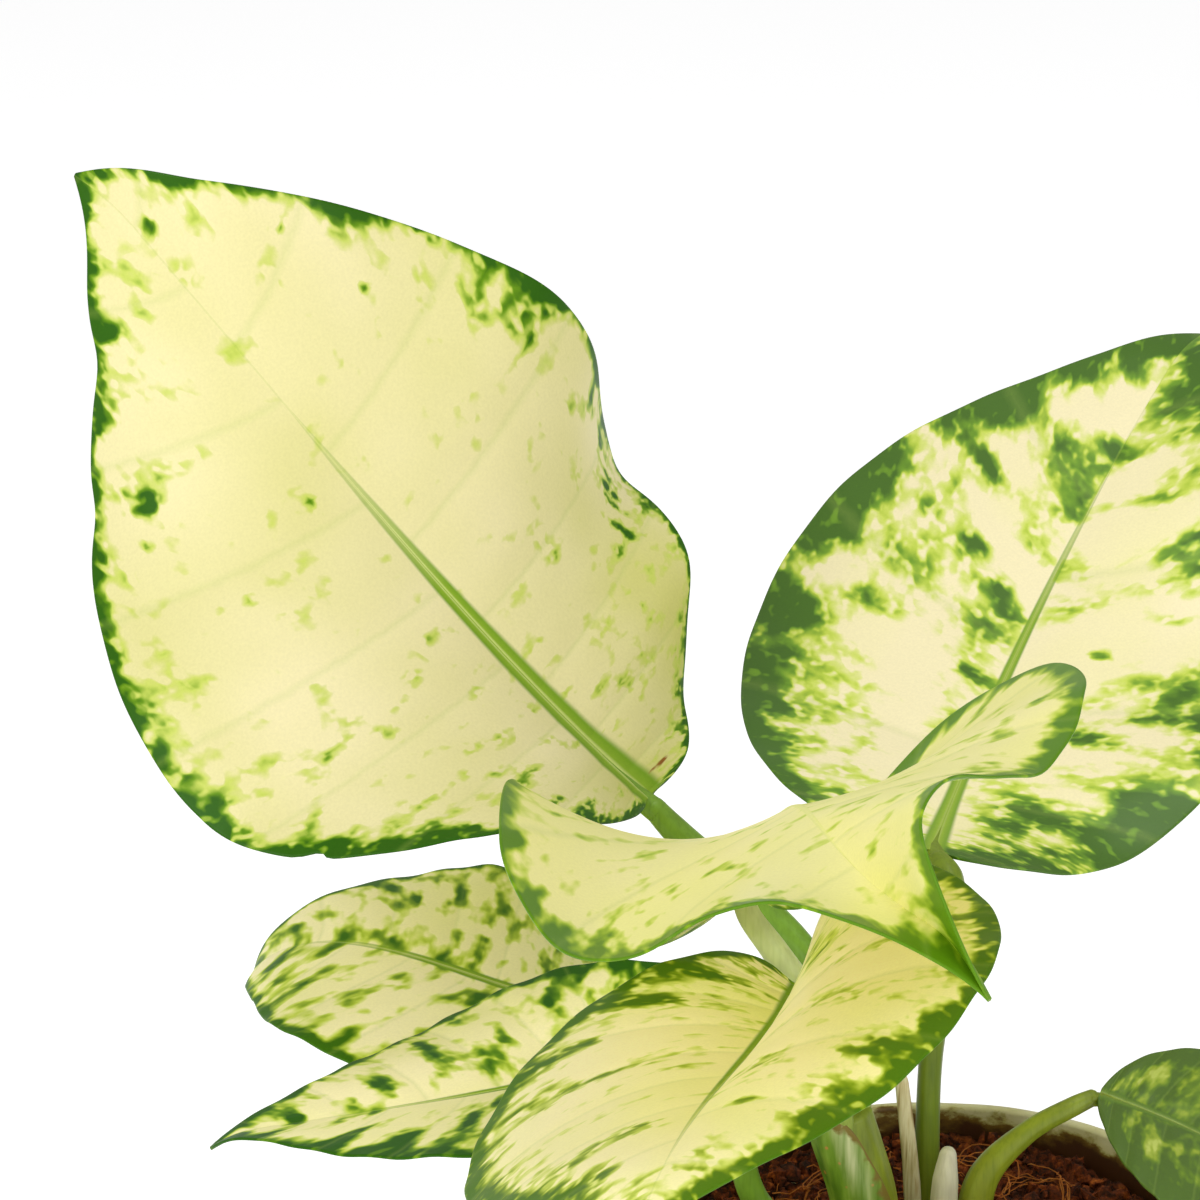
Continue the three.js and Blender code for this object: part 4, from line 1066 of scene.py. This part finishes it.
# Mixed lumps a few millimetres across
coir = earth("coir_and_bark", "#120502", "#2E1206", "#5E280C", "#8F4A1A", "#C0803C", 420, 0.0015)
crumb_earth = earth("loose_bark_crumbs", "#140602", "#38180A", "#6E3010", "#A8581E", "#CE9048", 240, 0.0006)
fibre_coir = earth("coir_fibre", "#7A4318", "#9C5E24", "#B5672B", "#C98A45", "#DDAE6B", 150, 0.0001)
soil = mesh_piece("potting_soil", np.concatenate(rings), soil_faces, coir, ["soil"])


def scatter(name, surface, build, material, values):
    """Loose bits on a surface, grown by a node tree and kept as a plain mesh.

    The tree's named inputs are set by their identifiers.
    """
    tree = bpy.data.node_groups.new(name, "GeometryNodeTree")
    tree.interface.new_socket("Geometry", in_out="INPUT", socket_type="NodeSocketGeometry")
    tree.interface.new_socket("Geometry", in_out="OUTPUT", socket_type="NodeSocketGeometry")
    sockets = {}
    for label, value in values.items():
        kind = "NodeSocketInt" if isinstance(value, int) else "NodeSocketFloat"
        sockets[label] = tree.interface.new_socket(label, in_out="INPUT", socket_type=kind)
    entry = tree.nodes.new("NodeGroupInput")
    made = build(tree, entry)
    real = add(tree, "GeometryNodeRealizeInstances", {"Geometry": made})
    painted = add(tree, "GeometryNodeSetMaterial", {"Geometry": real, "Material": material})
    leave = tree.nodes.new("NodeGroupOutput")
    tree.links.new(painted.outputs["Geometry"], leave.inputs["Geometry"])
    carrier = show(name, surface)
    grown = carrier.modifiers.new(name, "NODES")
    grown.node_group = tree
    for label, socket in sockets.items():
        grown[socket.identifier] = values[label]
    bake(carrier, grown)
    return claim(carrier, [])


def scattered_points(tree, entry):
    """Points on the upward faces of the soil, clear of the pot's wall."""
    facing = add(tree, "GeometryNodeInputNormal")
    upward = add(tree, "SeparateXYZ", {"Vector": facing})
    where = add(tree, "GeometryNodeInputPosition")
    spot = add(tree, "SeparateXYZ", {"Vector": where})
    level = add(tree, "CombineXYZ", {"X": spot.outputs["X"], "Y": spot.outputs["Y"]})
    away = add(tree, "VectorMath", (level,), operation="LENGTH")
    within = add(
        tree, "FunctionNodeCompare", {"A": away, "B": entry.outputs["Edge"]}, operation="LESS_THAN"
    )
    lying = add(tree, "FunctionNodeCompare", {"A": upward.outputs["Z"], "B": 0.2}, operation="GREATER_THAN")
    high = add(tree, "FunctionNodeCompare", {"A": spot.outputs["Z"], "B": 0.0815}, operation="GREATER_THAN")
    both = add(tree, "FunctionNodeBooleanMath", (within, lying), operation="AND")
    kept = add(tree, "FunctionNodeBooleanMath", (both, high), operation="AND")
    return add(
        tree, "GeometryNodeDistributePointsOnFaces",
        {
            "Mesh": entry.outputs["Geometry"], "Selection": kept,
            "Density": entry.outputs["Density"], "Seed": entry.outputs["Seed"],
        },
    )


def draw(tree, low, high, seed):
    """A random value, or three, for each point."""
    kind = "FLOAT_VECTOR" if isinstance(low, tuple) else "FLOAT"
    return add(tree, "FunctionNodeRandomValue", {"Min": low, "Max": high, "Seed": seed}, data_type=kind)


def strewn(tree, points, shape, turned, size, grain, middle, push):
    """The shape at each point, turned and sized, then bent by noise of a grain round its middle."""
    spread = {"Points": points.outputs["Points"], "Instance": shape, "Rotation": turned, "Scale": size}
    placed = add(tree, "GeometryNodeInstanceOnPoints", spread)
    real = add(tree, "GeometryNodeRealizeInstances", {"Geometry": placed})
    noise = add(tree, "TexNoise", {"Scale": grain, "Detail": 2.0})
    centred = add(tree, "VectorMath", (noise.outputs["Color"], middle), operation="SUBTRACT")
    offset = add(tree, "VectorMath", (centred, push), operation="SCALE")
    return add(tree, "GeometryNodeSetPosition", {"Geometry": real, "Offset": offset})


def crumb_tree(tree, entry):
    """Bark crumbs: few large and many small, flattened, turned every way and knocked out of round."""
    points = scattered_points(tree, entry)
    crumb = add(tree, "GeometryNodeMeshIcoSphere", {"Radius": 0.5, "Subdivisions": 1})
    drawn = draw(tree, 0.0, 1.0, 3)
    skewed = calc(tree, "POWER", drawn, 2.6)
    size = add(tree, "MapRange", (skewed, 0, 1, entry.outputs["Smallest"], entry.outputs["Largest"]))
    squash = draw(tree, (0.6, 0.45, 0.4), (1.5, 1.0, 0.8), 5)
    scale = add(tree, "VectorMath", (squash, size), operation="SCALE")
    turned = draw(tree, (0.0, 0.0, 0.0), (6.283, 6.283, 6.283), 8)
    # each crumb is knocked out of round, by up to half a millimetre
    return strewn(tree, points, crumb, turned, scale, 620.0, (0.5, 0.5, 0.5), 0.0028)


def fibre_tree(tree, entry):
    """Coir fibres: bowed lengths that lie about level, waved by noise, as thin tubes."""
    points = scattered_points(tree, entry)
    arc = add(
        tree, "GeometryNodeCurveQuadraticBezier",
        {
            "Resolution": 11, "Start": (-0.5, 0.0, 0.02), "Middle": (0.0, 0.32, 0.16),
            "End": (0.5, -0.05, 0.0),
        },
    )
    turned = draw(tree, (-0.35, -0.35, 0.0), (0.35, 0.35, 6.283), 2)
    drawn = draw(tree, 0.0, 1.0, 4)
    size = add(tree, "MapRange", (drawn, 0, 1, entry.outputs["Smallest"], entry.outputs["Largest"]))
    waved = strewn(tree, points, arc, turned, size, 110.0, (0.5, 0.5, 0.42), 0.012)
    ring = add(
        tree, "GeometryNodeCurvePrimitiveCircle", {"Resolution": 4, "Radius": entry.outputs["Radius"]}
    )
    tube = add(tree, "GeometryNodeCurveToMesh", {"Curve": waved, "Profile Curve": ring, "Fill Caps": True})
    return tube


# About 6,400 crumbs from 0.5 to 5 mm across, and 220 fibres 8 to 22 mm long
crumbs = scatter(
    "bark_crumbs", soil.data, crumb_tree, crumb_earth,
    {"Density": 520000.0, "Seed": 7, "Edge": 0.0492, "Smallest": 0.0005, "Largest": 0.0046},
)
fibres = scatter(
    "coir_fibres", soil.data, fibre_tree, fibre_coir,
    {"Density": 24000.0, "Seed": 12, "Edge": 0.040, "Smallest": 0.008, "Largest": 0.022, "Radius": 0.00014},
)
for loose in (crumbs, fibres):
    loose.data.shade_flat()


# Table, lights and camera
# A plain white table under soft studio light, seen a little from above through a long lens.
table, tree, shader = new_material("lit_white_table", Roughness=0.7, Emission_Strength=0.45)
shader.inputs["Base Color"].default_value = (0.9, 0.9, 0.9, 1)
shader.inputs["Emission Color"].default_value = (1, 1, 1, 1)
floor_mesh = bpy.data.meshes.new("table_top")
corners = [(x, y, -0.0002) for x, y in ((-6, -6), (6, -6), (6, 6), (-6, 6))]
floor_mesh.from_pydata(corners, [], [(0, 1, 2, 3)])
floor_mesh.materials.append(table)
floor = show("table_top", floor_mesh)

world = bpy.data.worlds.new("studio")
world.use_nodes = True
bpy.context.scene.world = world
world.node_tree.nodes["Background"].inputs["Color"].default_value = (1, 1, 1, 1)
world.node_tree.nodes["Background"].inputs["Strength"].default_value = 0.5


def lamp(name, place, target, size, power):
    """A round soft light that faces its target."""
    data = bpy.data.lights.new(name, "AREA")
    data.shape, data.size, data.energy = "DISK", size, power
    obj = show(name, data)
    obj.location = place
    obj.rotation_euler = (Vector(target) - Vector(place)).to_track_quat("-Z", "Y").to_euler()


lamp("key_light", (-1.1, -0.9, 0.9), (-0.03, 0, 0.11), 0.9, 10)
lamp("top_light", (0.2, -0.4, 1.9), (-0.03, 0, 0.13), 1.0, 8)
lamp("fill_light", (0.9, -1.3, 0.5), (-0.03, 0, 0.1), 1.0, 7)

camera = show("camera", bpy.data.cameras.new("camera"))
camera.data.lens, camera.data.sensor_width = 150, 36
camera.location = (-0.0662, -0.91336, 0.52005)
camera.rotation_euler = (math.radians(72), 0, 0)
bpy.context.scene.camera = camera
bpy.context.scene.view_settings.view_transform = "Standard"
